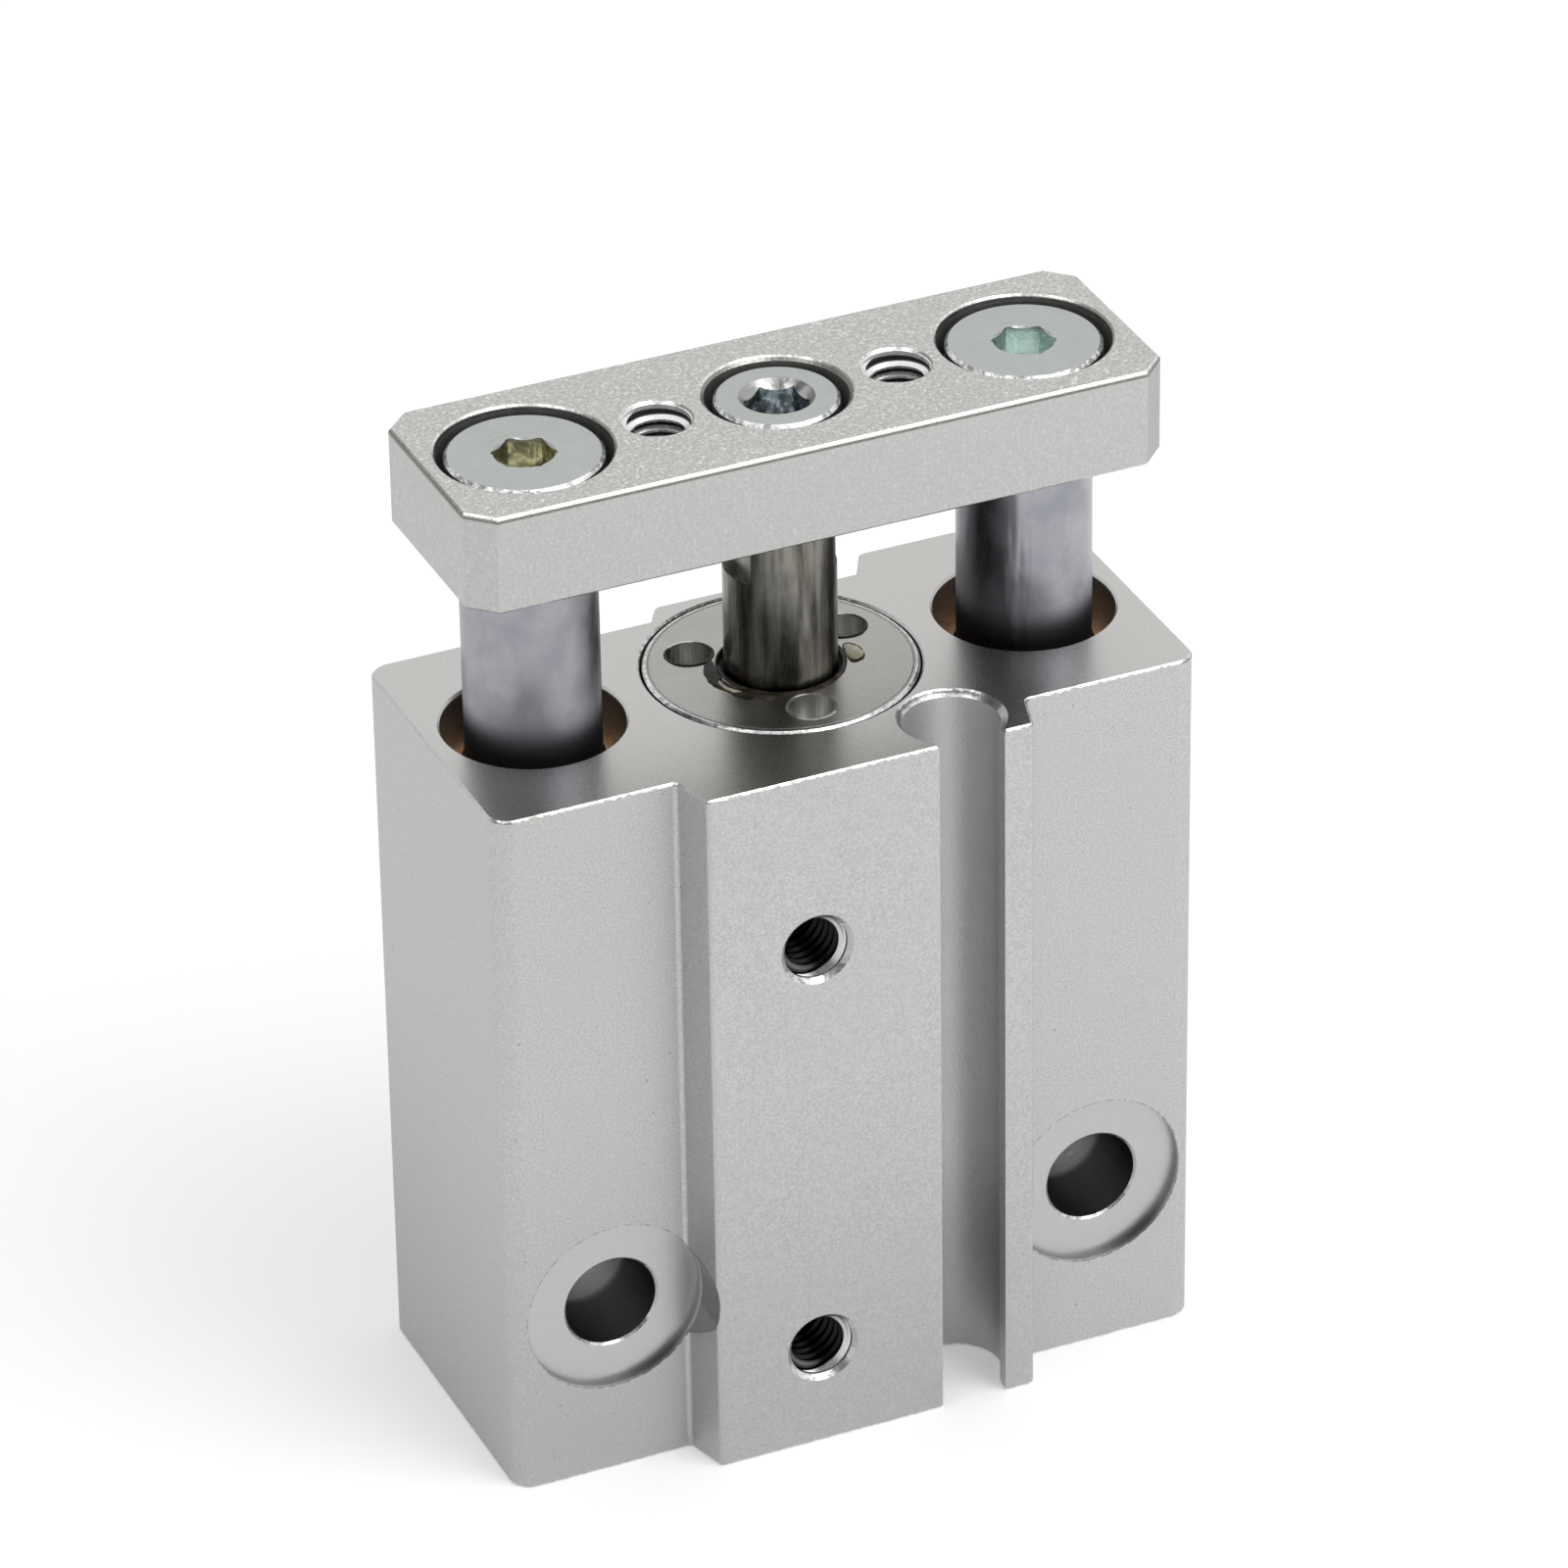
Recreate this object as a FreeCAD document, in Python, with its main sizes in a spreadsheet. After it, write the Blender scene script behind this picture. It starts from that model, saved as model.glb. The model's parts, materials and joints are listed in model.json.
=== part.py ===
"""Guided pneumatic cylinder: a flat aluminium body with one air cylinder between two guide rods.

Frame: millimetres, +Z up along the rods. The origin lies on the piston rod's axis in the plane of
the body's bottom face. X runs from guide rod to guide rod, and -Y is the side with the air ports.
The rods are drawn out by half the stroke.
"""
import FreeCAD, Part
import os
import Sketcher

NO_FACE = ""
FULL_TURN = 360
THROUGH_ALL = 1
HEX_SIDES = 6
SPANNER_HOLES = 3

doc = FreeCAD.newDocument("guided_cylinder")


# ---------------------------------------------------------------- driving dimensions

DIMENSIONS = [
    # the air cylinder
    ("bore_dia", 10.0, "cylinder bore"),
    ("stroke", 10.0, "full travel of the piston"),
    ("end_play", 0.05, "free length left at each end of the travel"),
    ("cover_length", 6.8, "length of the rod cover"),
    ("cover_step", 1.18, "how far the rod cover's bore stands outside the cylinder bore"),
    ("cover_play", 0.1, "radial gap round the rod cover"),
    ("head_step", 0.6, "how far the head cover's bore stands outside the cylinder bore"),
    ("head_play", 0.02, "radial gap round the head cover"),
    ("head_length", 2.0, "thickness of the head cover"),
    ("ring_recess", 0.5, "depth of the retaining ring below the bottom face"),
    ("ring_thick", 0.7, "thickness of the retaining ring"),
    ("ring_bite", 0.4, "depth of the ring's groove in the wall"),
    ("ring_play", 0.05, "radial gap outside the ring"),
    ("ring_band", 1.1, "radial width of the ring"),
    ("ring_eye_dia", 1.7, "outside of the ring's eyes"),
    ("ring_eye_hole", 0.85, "holes in the eyes, for the pliers"),
    ("ring_gap", 1.6, "gap between the eyes"),
    # rods and their fits
    ("piston_rod_dia", 5.0, "piston rod"),
    ("guide_rod_dia", 6.0, "guide rods"),
    ("guide_tip_break", 0.5, "bevel at the lower ends of the guide rods"),
    ("rod_play", 0.04, "radial clearance of the piston rod in its cover"),
    ("guide_play", 0.03, "radial clearance of a guide rod in its bush"),
    ("seal_play", 0.02, "radial clearance of the lip seals"),
    ("piston_play", 0.05, "radial clearance of the piston"),
    ("bush_wall", 1.02, "wall of the bronze bushes"),
    ("bush_length", 14.0, "length of the bushes"),
    ("bush_recess", 1.8, "depth of the bushes below the top face"),
    ("tip_play", 0.5, "room under the guide rods when they are fully in"),
    # walls of the body round its bores
    ("bore_gap_wall", 1.47, "wall between the rod cover's bore and a guide bore"),
    ("side_wall", 0.85, "wall between a guide bore and the body's narrow side"),
    ("front_wall", 1.32, "rod cover's bore to the plane of the front lobes"),
    ("rear_wall", 1.12, "rod cover's bore to the plane of the rear lobes"),
    ("pad_proud", 2.05, "height of the front pad above the lobes"),
    ("pad_flank", 0.6, "width of the pad's sloping flanks"),
    ("corner_round", 1.0, "radius of the body's upright corners"),
    ("profile_round", 0.25, "radius of the other profile corners"),
    ("edge_break", 0.12, "machined chamfer round the end faces"),
    ("rim_break", 0.1, "small chamfer at the mouths of bores"),
    # sensor groove in the pad
    ("sensor_dia", 4.3, "round bottom of the sensor groove"),
    ("sensor_depth", 2.1, "groove's centre below the pad's face"),
    ("sensor_mouth", 3.1, "width of the groove's mouth"),
    ("sensor_wall", 0.49, "wall between the groove and the rod cover's bore"),
    ("sensor_lip", 1.38, "pad left beside the groove's mouth"),
    ("sensor_break", 0.28, "countersink at both ends of the groove"),
    # shallow grooves in the rear face
    ("rear_land", 3.05, "half the width of the land between the rear grooves"),
    ("land_drop", 0.5, "land below the rear lobes"),
    ("land_flank", 0.65, "slope from the land to a groove's floor"),
    ("rear_groove", 2.5, "width of a groove's floor"),
    ("rear_groove_drop", 1.6, "depth of the grooves below the lobes"),
    ("rear_flank", 0.85, "slope from a groove's floor to a lobe"),
    # air ports
    ("port_dia", 3.0, "thread of the ports, over the crests"),
    ("port_break", 0.22, "chamfer at the ports"),
    ("port_offset", 2.65, "ports to the left of the bore's axis"),
    ("port_floor_wall", 0.55, "port's floor to the cylinder bore"),
    ("orifice_dia", 1.2, "air way from a port into the bore"),
    ("upper_port_drop", 1.9, "upper port below the rod cover"),
    ("lower_port_rise", 1.76, "lower port above the head cover"),
    # mounting holes across the body
    ("mount_height", 8.5, "mounting holes above the bottom face"),
    ("mount_dia", 4.3, "mounting holes"),
    ("spot_dia", 8.3, "spot faces round them"),
    ("spot_depth", 0.45, "depth of the spot faces"),
    ("mount_wall", 1.95, "mounting hole to the floor of a guide bore"),
    # spanner holes in the rod cover
    ("spanner_dia", 2.0, "spanner holes"),
    ("spanner_radius", 4.1, "spanner holes from the axis"),
    ("spanner_depth", 1.2, "depth of the spanner holes"),
    ("spanner_turn", 25.0, "angle of the first spanner hole"),
    ("wiper_dia", 5.6, "shallow recess round the rod"),
    ("wiper_depth", 0.25, "depth of that recess"),
    # plate
    ("retracted_gap", 3.75, "body to plate when the rods are fully in"),
    ("plate_thick", 4.6, "plate"),
    ("plate_depth", 10.5, "plate, front to rear"),
    ("plate_inset", 0.35, "plate's ends inside the body's sides"),
    ("plate_corner", 1.15, "chamfer of the plate's upright corners"),
    ("tap_spacing", 11.2, "between the plate's two threaded holes"),
    ("tap_dia", 3.0, "their thread, over the crests"),
    ("tap_break", 0.12, "chamfer at these holes"),
    ("flat_length", 3.7, "wrench flats of the piston rod"),
    ("flat_across", 4.0, "distance across the flats"),
    # screws
    ("low_head_dia", 6.9, "head of the guide rod screws"),
    ("low_head_high", 2.8, "height of that head"),
    ("low_shank_dia", 4.0, "their thread, over the crests"),
    ("low_reach", 7.0, "how far they go into the guide rods"),
    ("cap_head_dia", 5.5, "head of the piston rod screw"),
    ("cap_head_high", 3.0, "height of that head"),
    ("cap_shank_dia", 3.0, "its thread, over the crests"),
    ("cap_reach", 6.0, "how far it goes into the piston rod"),
    ("head_play_wide", 0.4, "radial gap round the screw heads"),
    ("cap_rim_break", 0.2, "chamfer round the middle counterbore"),
    ("shank_play", 0.15, "radial gap round the shanks in the plate"),
    ("head_recess", 0.2, "screw heads below the plate's face"),
    ("thread_spare", 1.0, "threaded hole past the end of a screw"),
    ("socket_across", 2.5, "hexagon sockets, across flats"),
    ("socket_depth", 1.5, "depth of the sockets"),
    ("socket_turn", -23.0, "angle at which the screws came to rest"),
    ("low_mouth", 0.1, "countersink of the guide rod screws' sockets"),
    ("cap_mouth", 0.42, "countersink of the piston rod screw's socket"),
    ("head_break", 0.15, "bevel round the screw heads"),
    # piston
    ("piston_front_long", 5.9, "front half of the piston"),
    ("piston_rear_long", 4.0, "rear half of the piston"),
    ("magnet_thick", 2.8, "magnet ring"),
    ("magnet_inset", 0.5, "magnet inside the piston's outer face"),
    ("spigot_dia", 3.0, "piston rod where it passes through the piston"),
    ("bumper_thick", 1.2, "bumper rings"),
    ("bumper_proud", 0.8, "bumper above the piston's end"),
    ("bumper_inset", 0.75, "bumper rings inside the piston's outer face"),
    ("bumper_gap", 0.4, "bumper rings round the piston rod"),
    ("seal_high", 2.0, "axial length of the lip seals"),
    ("seal_deep", 1.48, "radial depth of the lip seals"),
    ("seal_foot", 1.2, "rod seal above the rod cover's lower face"),
    ("piston_seal_foot", 2.0, "piston seal above the front half's lower face"),
    ("cord_dia", 0.85, "section of the O-rings across the squeeze"),
    ("cord_wide", 0.95, "section of the O-rings along the axis"),
    ("cord_nip", 0.25, "rounding of that section"),
    ("cord_room", 1.15, "axial width of the O-rings' grooves"),
    ("cover_cord_foot", 1.5, "O-ring groove above the rod cover's lower face"),
]

dims = doc.addObject("Spreadsheet::Sheet", "Dims")
for row, (alias, size, meaning) in enumerate(DIMENSIONS, start=1):
    dims.set(f"A{row}", meaning)
    dims.set(f"B{row}", str(size))
    dims.setAlias(f"B{row}", alias)
doc.recompute()


# ---------------------------------------------------------------- sizes that follow from them

def dim(alias):
    """The sheet's value as an expression."""
    return f"Dims.{alias}"


def total(*terms):
    """The sum of some expressions, as one expression."""
    return "(" + " + ".join(terms) + ")"


def minus(first, *others):
    """The first expression less the others."""
    return "(" + " - ".join((first,) + others) + ")"


def half(expression):
    return f"({expression} / 2)"


def negative(expression):
    return f"(-1 * {expression})"


BORE_R = half(dim("bore_dia"))
COVER_BORE_R = total(BORE_R, dim("cover_step"))
HEAD_BORE_R = total(BORE_R, dim("head_step"))
PISTON_ROD_R = half(dim("piston_rod_dia"))
GUIDE_ROD_R = half(dim("guide_rod_dia"))
BUSH_HOLE_R = total(GUIDE_ROD_R, dim("guide_play"))
GUIDE_BORE_R = total(BUSH_HOLE_R, dim("bush_wall"))

# heights, from the bottom face up
RING_LOW = dim("ring_recess")
HEAD_LOW = total(RING_LOW, dim("ring_thick"))
HEAD_SEAT = total(HEAD_LOW, dim("head_length"))
PISTON_LONG = total(
    dim("piston_rear_long"), dim("magnet_thick"), dim("piston_front_long"), f"2 * {dim('bumper_proud')}"
)
COVER_SEAT = total(HEAD_SEAT, PISTON_LONG, dim("stroke"), f"2 * {dim('end_play')}")
BODY_HIGH = total(COVER_SEAT, dim("cover_length"))
HALF_STROKE = half(dim("stroke"))
PLATE_LOW = total(BODY_HIGH, dim("retracted_gap"), HALF_STROKE)
PISTON_LOW = total(HEAD_SEAT, dim("end_play"), HALF_STROKE, dim("bumper_proud"))
PISTON_TOP = total(PISTON_LOW, dim("piston_rear_long"), dim("magnet_thick"), dim("piston_front_long"))
GUIDE_FLOOR = total(dim("mount_height"), half(dim("mount_dia")), dim("mount_wall"))
GUIDE_TIP = total(GUIDE_FLOOR, dim("tip_play"), HALF_STROKE)
BUSH_LOW = minus(BODY_HIGH, dim("bush_recess"), dim("bush_length"))

# plan of the body
GUIDE_X = total(COVER_BORE_R, dim("bore_gap_wall"), GUIDE_BORE_R)
BODY_HALF = total(GUIDE_X, GUIDE_BORE_R, dim("side_wall"))
FRONT_Y = negative(total(COVER_BORE_R, dim("front_wall")))
PAD_Y = minus(FRONT_Y, dim("pad_proud"))
REAR_Y = total(COVER_BORE_R, dim("rear_wall"))
SENSOR_Y = total(PAD_Y, dim("sensor_depth"))
SENSOR_R = half(dim("sensor_dia"))
SENSOR_REACH = total(COVER_BORE_R, dim("sensor_wall"), SENSOR_R)
SENSOR_X = f"sqrt({SENSOR_REACH} * {SENSOR_REACH} - {SENSOR_Y} * {SENSOR_Y})"
PAD_HALF = total(SENSOR_X, half(dim("sensor_mouth")), dim("sensor_lip"))
PAD_FOOT = total(PAD_HALF, dim("pad_flank"))


# ---------------------------------------------------------------- helpers

def value(expression):
    """The number that an expression stands for now."""
    return float(dims.evalExpression(expression))


def new_body(name, **place):
    """An empty body; place gives the expressions of its x and z."""
    body = doc.addObject("PartDesign::Body", name)
    body.Label = name
    for axis, expression in place.items():
        body.setExpression(f"Placement.Base.{axis}", expression)
    return body


def origin_feature(body, role):
    return next(feature for feature in body.Origin.OriginFeatures if feature.Role == role)


def new_sketch(body, name, plane="XZ_Plane", **offset):
    """A sketch on one of the body's own planes, moved by expressions along the sketch's axes."""
    sketch = body.newObject("Sketcher::SketchObject", f"{body.Label}_{name}_sketch")
    sketch.AttachmentSupport = [(origin_feature(body, plane), NO_FACE)]
    sketch.MapMode = "FlatFace"
    for axis, expression in offset.items():
        sketch.setExpression(f"AttachmentOffset.Base.{axis}", expression)
    return sketch


def hold_point(sketch, curve, end, place):
    """Ties a curve's point to a pair of expressions, measured from the sketch's origin."""
    for kind, expression in zip(("DistanceX", "DistanceY"), place):
        number = sketch.addConstraint(
            Sketcher.Constraint(kind, -1, 1, curve, end, value(expression))
        )
        sketch.setExpression(f"Constraints[{number}]", expression)


def draw_outline(sketch, corners):
    """A closed outline of straight lines through corners given as pairs of expressions."""
    points = [FreeCAD.Vector(value(across), value(along), 0) for across, along in corners]
    first = sketch.GeometryCount
    for number, point in enumerate(points):
        sketch.addGeometry(Part.LineSegment(point, points[(number + 1) % len(points)]))
    for number, corner in enumerate(corners):
        following = (number + 1) % len(corners)
        sketch.addConstraint(Sketcher.Constraint("Coincident", first + number, 2, first + following, 1))
        hold_point(sketch, first + number, 1, corner)


def draw_circle(sketch, centre, radius):
    """A circle whose centre and radius are expressions."""
    middle = FreeCAD.Vector(value(centre[0]), value(centre[1]), 0)
    curve = sketch.addGeometry(Part.Circle(middle, FreeCAD.Vector(0, 0, 1), value(radius)))
    hold_point(sketch, curve, 3, centre)
    number = sketch.addConstraint(Sketcher.Constraint("Radius", curve, value(radius)))
    sketch.setExpression(f"Constraints[{number}]", radius)


def add_feature(body, kind, name, sketch=None):
    feature = body.newObject(f"PartDesign::{kind}", f"{body.Label}_{name}")
    if sketch is not None:
        feature.Profile = sketch
        sketch.Visibility = False
    return feature


def turn(body, name, corners, kind="Revolution", plane="XZ_Plane", **offset):
    """Turns an outline round the sketch's upright axis: kind Groove cuts it away."""
    sketch = new_sketch(body, name, plane, **offset)
    draw_outline(sketch, corners)
    feature = add_feature(body, kind, name, sketch)
    feature.ReferenceAxis = (sketch, ["V_Axis"])
    feature.Angle = FULL_TURN
    doc.recompute()
    return feature


def raise_pad(body, name, sketch, length):
    feature = add_feature(body, "Pad", name, sketch)
    feature.setExpression("Length", length)
    doc.recompute()
    return feature


def cut_up(body, name, sketch, length=None):
    """Cuts a sketch away upwards from its plane: right through if no length is given."""
    before = body.Shape.Volume
    feature = add_feature(body, "Pocket", name, sketch)
    feature.Reversed = True
    if length is None:
        feature.Type = THROUGH_ALL
    else:
        feature.setExpression("Length", length)
    doc.recompute()
    if body.Shape.Volume >= before:
        raise ValueError(f"{body.Label}: {name} cut nothing")
    return feature


def mirror_sideways(body, name, features):
    """Repeats features on the other side of the body's YZ plane."""
    feature = add_feature(body, "Mirrored", name)
    feature.Originals = features
    feature.MirrorPlane = (origin_feature(body, "YZ_Plane"), [NO_FACE])
    body.Tip = feature
    doc.recompute()
    return feature


def dress(body, kind, name, size, choose):
    """Fillet or Chamfer on the edges of the body's last feature that choose accepts."""
    base = body.Tip
    names = [
        f"Edge{number}" for number, edge in enumerate(base.Shape.Edges, start=1) if choose(edge)
    ]
    feature = add_feature(body, kind, name)
    feature.Base = (base, names)
    feature.setExpression("Radius" if kind == "Fillet" else "Size", size)
    doc.recompute()
    return feature


def is_upright(edge):
    """True for a straight edge along Z."""
    if not isinstance(edge.Curve, Part.Line):
        return False
    return abs(edge.tangentAt(edge.FirstParameter).z) > 0.999


def end_outlines(shape):
    """The outer edges of a body's lowest and highest flat faces."""
    box = shape.BoundBox
    edges = []
    for face in shape.Faces:
        if isinstance(face.Surface, Part.Plane) and face.BoundBox.ZLength < 1e-6:
            height = face.CenterOfMass.z
            if min(abs(height - box.ZMin), abs(height - box.ZMax)) < 1e-6:
                edges += face.OuterWire.Edges
    return edges


def break_end_edges(body):
    """The thin machined chamfer round both end faces."""
    outline = end_outlines(body.Tip.Shape)
    dress(
        body, "Chamfer", "end_edges", dim("edge_break"),
        lambda edge: any(edge.isSame(other) for other in outline),
    )


def ring_outline(inner, outer, low, high):
    """The half-section of a plain ring."""
    return [(inner, low), (outer, low), (outer, high), (inner, high)]


# ---------------------------------------------------------------- body

def mirrored_corners(right_side):
    """Corners on the right, from front to rear, and the same on the left on the way back."""
    left_side = [(negative(across), along) for across, along in reversed(right_side)]
    return right_side + left_side


def make_body():
    """The extruded housing, machined from both ends and from the front."""
    body = new_body("body")
    land_y = minus(REAR_Y, dim("land_drop"))
    floor_y = minus(REAR_Y, dim("rear_groove_drop"))
    floor_in = total(dim("rear_land"), dim("land_flank"))
    floor_out = total(floor_in, dim("rear_groove"))
    lobe_in = total(floor_out, dim("rear_flank"))
    outline = new_sketch(body, "outline", "XY_Plane")
    draw_outline(outline, mirrored_corners([
        (PAD_HALF, PAD_Y),
        (PAD_FOOT, FRONT_Y),
        (BODY_HALF, FRONT_Y),
        (BODY_HALF, REAR_Y),
        (lobe_in, REAR_Y),
        (floor_out, floor_y),
        (floor_in, floor_y),
        (dim("rear_land"), land_y),
    ]))
    raise_pad(body, "extrusion", outline, BODY_HIGH)
    side = value(BODY_HALF)
    at_corner = lambda edge: is_upright(edge) and abs(abs(edge.CenterOfMass.x) - side) < 1e-6
    dress(body, "Fillet", "corners", dim("corner_round"), at_corner)
    inside = side - 1.5 * value(dim("corner_round"))
    at_step = lambda edge: is_upright(edge) and abs(edge.CenterOfMass.x) < inside
    dress(body, "Fillet", "profile_edges", dim("profile_round"), at_step)

    groove = new_sketch(body, "sensor_groove", "XY_Plane")
    draw_circle(groove, (SENSOR_X, SENSOR_Y), SENSOR_R)
    cut_up(body, "sensor_groove", groove)
    mouth = new_sketch(body, "sensor_mouth", "XY_Plane")
    left = minus(SENSOR_X, half(dim("sensor_mouth")))
    right = total(SENSOR_X, half(dim("sensor_mouth")))
    outside = minus(PAD_Y, dim("pad_proud"))
    draw_outline(mouth, [(left, outside), (right, outside), (right, SENSOR_Y), (left, SENSOR_Y)])
    cut_up(body, "sensor_mouth", mouth)
    break_end_edges(body)
    wide_r = total(SENSOR_R, dim("sensor_break"))
    for name, face, floor in (
        ("sensor_top", BODY_HIGH, minus(BODY_HIGH, dim("sensor_break"))),
        ("sensor_foot", "0", dim("sensor_break")),
    ):
        turn(
            body, name, [("0", floor), (SENSOR_R, floor), (wide_r, face), ("0", face)],
            "Groove", x=SENSOR_X, z=negative(SENSOR_Y),
        )

    turn(body, "cylinder_bore", cylinder_bore_outline(), "Groove")
    guide = turn(body, "guide_bore", [
        ("0", GUIDE_FLOOR),
        (GUIDE_BORE_R, GUIDE_FLOOR),
        (GUIDE_BORE_R, minus(BODY_HIGH, dim("rim_break"))),
        (total(GUIDE_BORE_R, dim("rim_break")), BODY_HIGH),
        ("0", BODY_HIGH),
    ], "Groove", x=GUIDE_X)
    mount = turn(
        body, "mounting_hole", mounting_hole_outline(), "Groove", "XY_Plane",
        x=GUIDE_X, z=dim("mount_height"),
    )
    mirror_sideways(body, "other_side", [guide, mount])
    for name, height in (
        ("lower_port", total(HEAD_SEAT, dim("lower_port_rise"))),
        ("upper_port", minus(COVER_SEAT, dim("upper_port_drop"))),
    ):
        turn(
            body, name, port_outline(), "Groove", "XY_Plane",
            x=negative(dim("port_offset")), z=height,
        )
    return body


def cylinder_bore_outline():
    """Half-section of everything turned on the cylinder's axis, from the bottom up."""
    groove_r = total(HEAD_BORE_R, dim("ring_bite"))
    wide_r = total(HEAD_BORE_R, dim("rim_break"))
    rim_r = total(COVER_BORE_R, dim("rim_break"))
    return [
        ("0", "0"),
        (wide_r, "0"),
        (HEAD_BORE_R, dim("rim_break")),
        (HEAD_BORE_R, RING_LOW),
        (groove_r, RING_LOW),
        (groove_r, HEAD_LOW),
        (HEAD_BORE_R, HEAD_LOW),
        (HEAD_BORE_R, HEAD_SEAT),
        (BORE_R, HEAD_SEAT),
        (BORE_R, COVER_SEAT),
        (COVER_BORE_R, COVER_SEAT),
        (COVER_BORE_R, minus(BODY_HIGH, dim("rim_break"))),
        (rim_r, BODY_HIGH),
        ("0", BODY_HIGH),
    ]


def mounting_hole_outline():
    """Half-section of a mounting hole: spot face in front, plain chamfered hole to the rear."""
    hole_r = half(dim("mount_dia"))
    spot_r = half(dim("spot_dia"))
    spot_y = total(FRONT_Y, dim("spot_depth"))
    return [
        ("0", minus(PAD_Y, dim("pad_proud"))),
        (spot_r, minus(PAD_Y, dim("pad_proud"))),
        (spot_r, spot_y),
        (total(hole_r, dim("rim_break")), spot_y),
        (hole_r, total(spot_y, dim("rim_break"))),
        (hole_r, minus(REAR_Y, dim("rim_break"))),
        (total(hole_r, dim("rim_break")), REAR_Y),
        ("0", REAR_Y),
    ]


def port_outline():
    """Half-section of an air port: chamfer, thread and the small way into the bore."""
    port_r = half(dim("port_dia"))
    orifice_r = half(dim("orifice_dia"))
    floor_y = negative(total(BORE_R, dim("port_floor_wall")))
    return [
        ("0", PAD_Y),
        (total(port_r, dim("port_break")), PAD_Y),
        (port_r, total(PAD_Y, dim("port_break"))),
        (port_r, floor_y),
        (orifice_r, floor_y),
        (orifice_r, negative(half(BORE_R))),
        ("0", negative(half(BORE_R))),
    ]


# ---------------------------------------------------------------- pieces in the body

COVER_R = minus(COVER_BORE_R, dim("cover_play"))
HEAD_R = minus(HEAD_BORE_R, dim("head_play"))
SEAL_HOLE_R = total(PISTON_ROD_R, dim("seal_play"))
SEAL_OUT_R = total(SEAL_HOLE_R, dim("seal_deep"))


def cord_groove(outer, bore, foot):
    """Corners of an O-ring groove in a disc's rim, from its lower edge up."""
    floor = minus(bore, dim("cord_dia"))
    top = total(foot, dim("cord_room"))
    return [(outer, foot), (floor, foot), (floor, top), (outer, top)]


def make_rod_cover():
    """The disc that closes the rod end, with the seal's groove inside and three spanner holes."""
    body = new_body("rod_cover", z=COVER_SEAT)
    hole_r = total(PISTON_ROD_R, dim("rod_play"))
    top = dim("cover_length")
    shoulder = minus(top, dim("rim_break"))
    seal_top = total(dim("seal_foot"), dim("seal_high"))
    wiper_low = minus(top, dim("wiper_depth"))
    turn(body, "section", [
        (hole_r, "0"),
        (COVER_R, "0"),
        *cord_groove(COVER_R, COVER_BORE_R, dim("cover_cord_foot")),
        (COVER_R, shoulder),
        (minus(COVER_R, dim("rim_break")), top),
        (half(dim("wiper_dia")), top),
        (half(dim("wiper_dia")), wiper_low),
        (hole_r, wiper_low),
        (hole_r, seal_top),
        (SEAL_OUT_R, seal_top),
        (SEAL_OUT_R, dim("seal_foot")),
        (hole_r, dim("seal_foot")),
    ])
    before = body.Shape.Volume
    sketch = new_sketch(body, "spanner_hole", "XY_Plane", z=top)
    turn_angle = dim("spanner_turn")
    across = f"{dim('spanner_radius')} * cos({turn_angle} * 1 deg)"
    along = f"{dim('spanner_radius')} * sin({turn_angle} * 1 deg)"
    draw_circle(sketch, (across, along), half(dim("spanner_dia")))
    hole = add_feature(body, "Pocket", "spanner_hole", sketch)
    hole.setExpression("Length", dim("spanner_depth"))
    doc.recompute()
    holes = add_feature(body, "PolarPattern", "spanner_holes")
    holes.Originals = [hole]
    holes.Axis = (origin_feature(body, "Z_Axis"), [NO_FACE])
    holes.Angle = FULL_TURN
    holes.Occurrences = SPANNER_HOLES
    body.Tip = holes
    doc.recompute()
    if body.Shape.Volume >= before:
        raise ValueError("the spanner holes cut nothing")
    return body


def lip_seal_outline(inner, outer, foot, opens):
    """Half-section of a U-shaped lip seal: opens is 1 for lips that point up, -1 for down."""
    high = dim("seal_high")
    third = f"({minus(outer, inner)} / 3)"
    middle = half(total(inner, outer))
    notch = total(foot, half(high))
    back, lips = (foot, total(foot, high)) if opens > 0 else (total(foot, high), foot)
    return [
        (inner, back),
        (outer, back),
        (outer, lips),
        (minus(outer, third), lips),
        (middle, notch),
        (total(inner, third), lips),
        (inner, lips),
    ]


def make_rod_seal():
    body = new_body("rod_seal", z=COVER_SEAT)
    turn(body, "section", lip_seal_outline(SEAL_HOLE_R, SEAL_OUT_R, dim("seal_foot"), -1))
    return body


def make_cord_ring(name, wall_r, middle):
    """An O-ring squeezed between a wall and its groove's floor, which flattens its section."""
    body = new_body(name, z=middle)
    inner = minus(wall_r, dim("cord_dia"))
    nip = dim("cord_nip")
    side = half(dim("cord_wide"))
    shoulder = minus(side, nip)
    turn(body, "section", [
        (inner, negative(shoulder)),
        (total(inner, nip), negative(side)),
        (minus(wall_r, nip), negative(side)),
        (wall_r, negative(shoulder)),
        (wall_r, shoulder),
        (minus(wall_r, nip), side),
        (total(inner, nip), side),
        (inner, shoulder),
    ])
    return body


def make_head_cover():
    """The disc that closes the bottom of the bore."""
    body = new_body("head_cover", z=HEAD_LOW)
    foot = half(minus(dim("head_length"), dim("cord_room")))
    turn(body, "section", [
        ("0", "0"),
        (HEAD_R, "0"),
        *cord_groove(HEAD_R, HEAD_BORE_R, foot),
        (HEAD_R, dim("head_length")),
        ("0", dim("head_length")),
    ])
    return body


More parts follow.
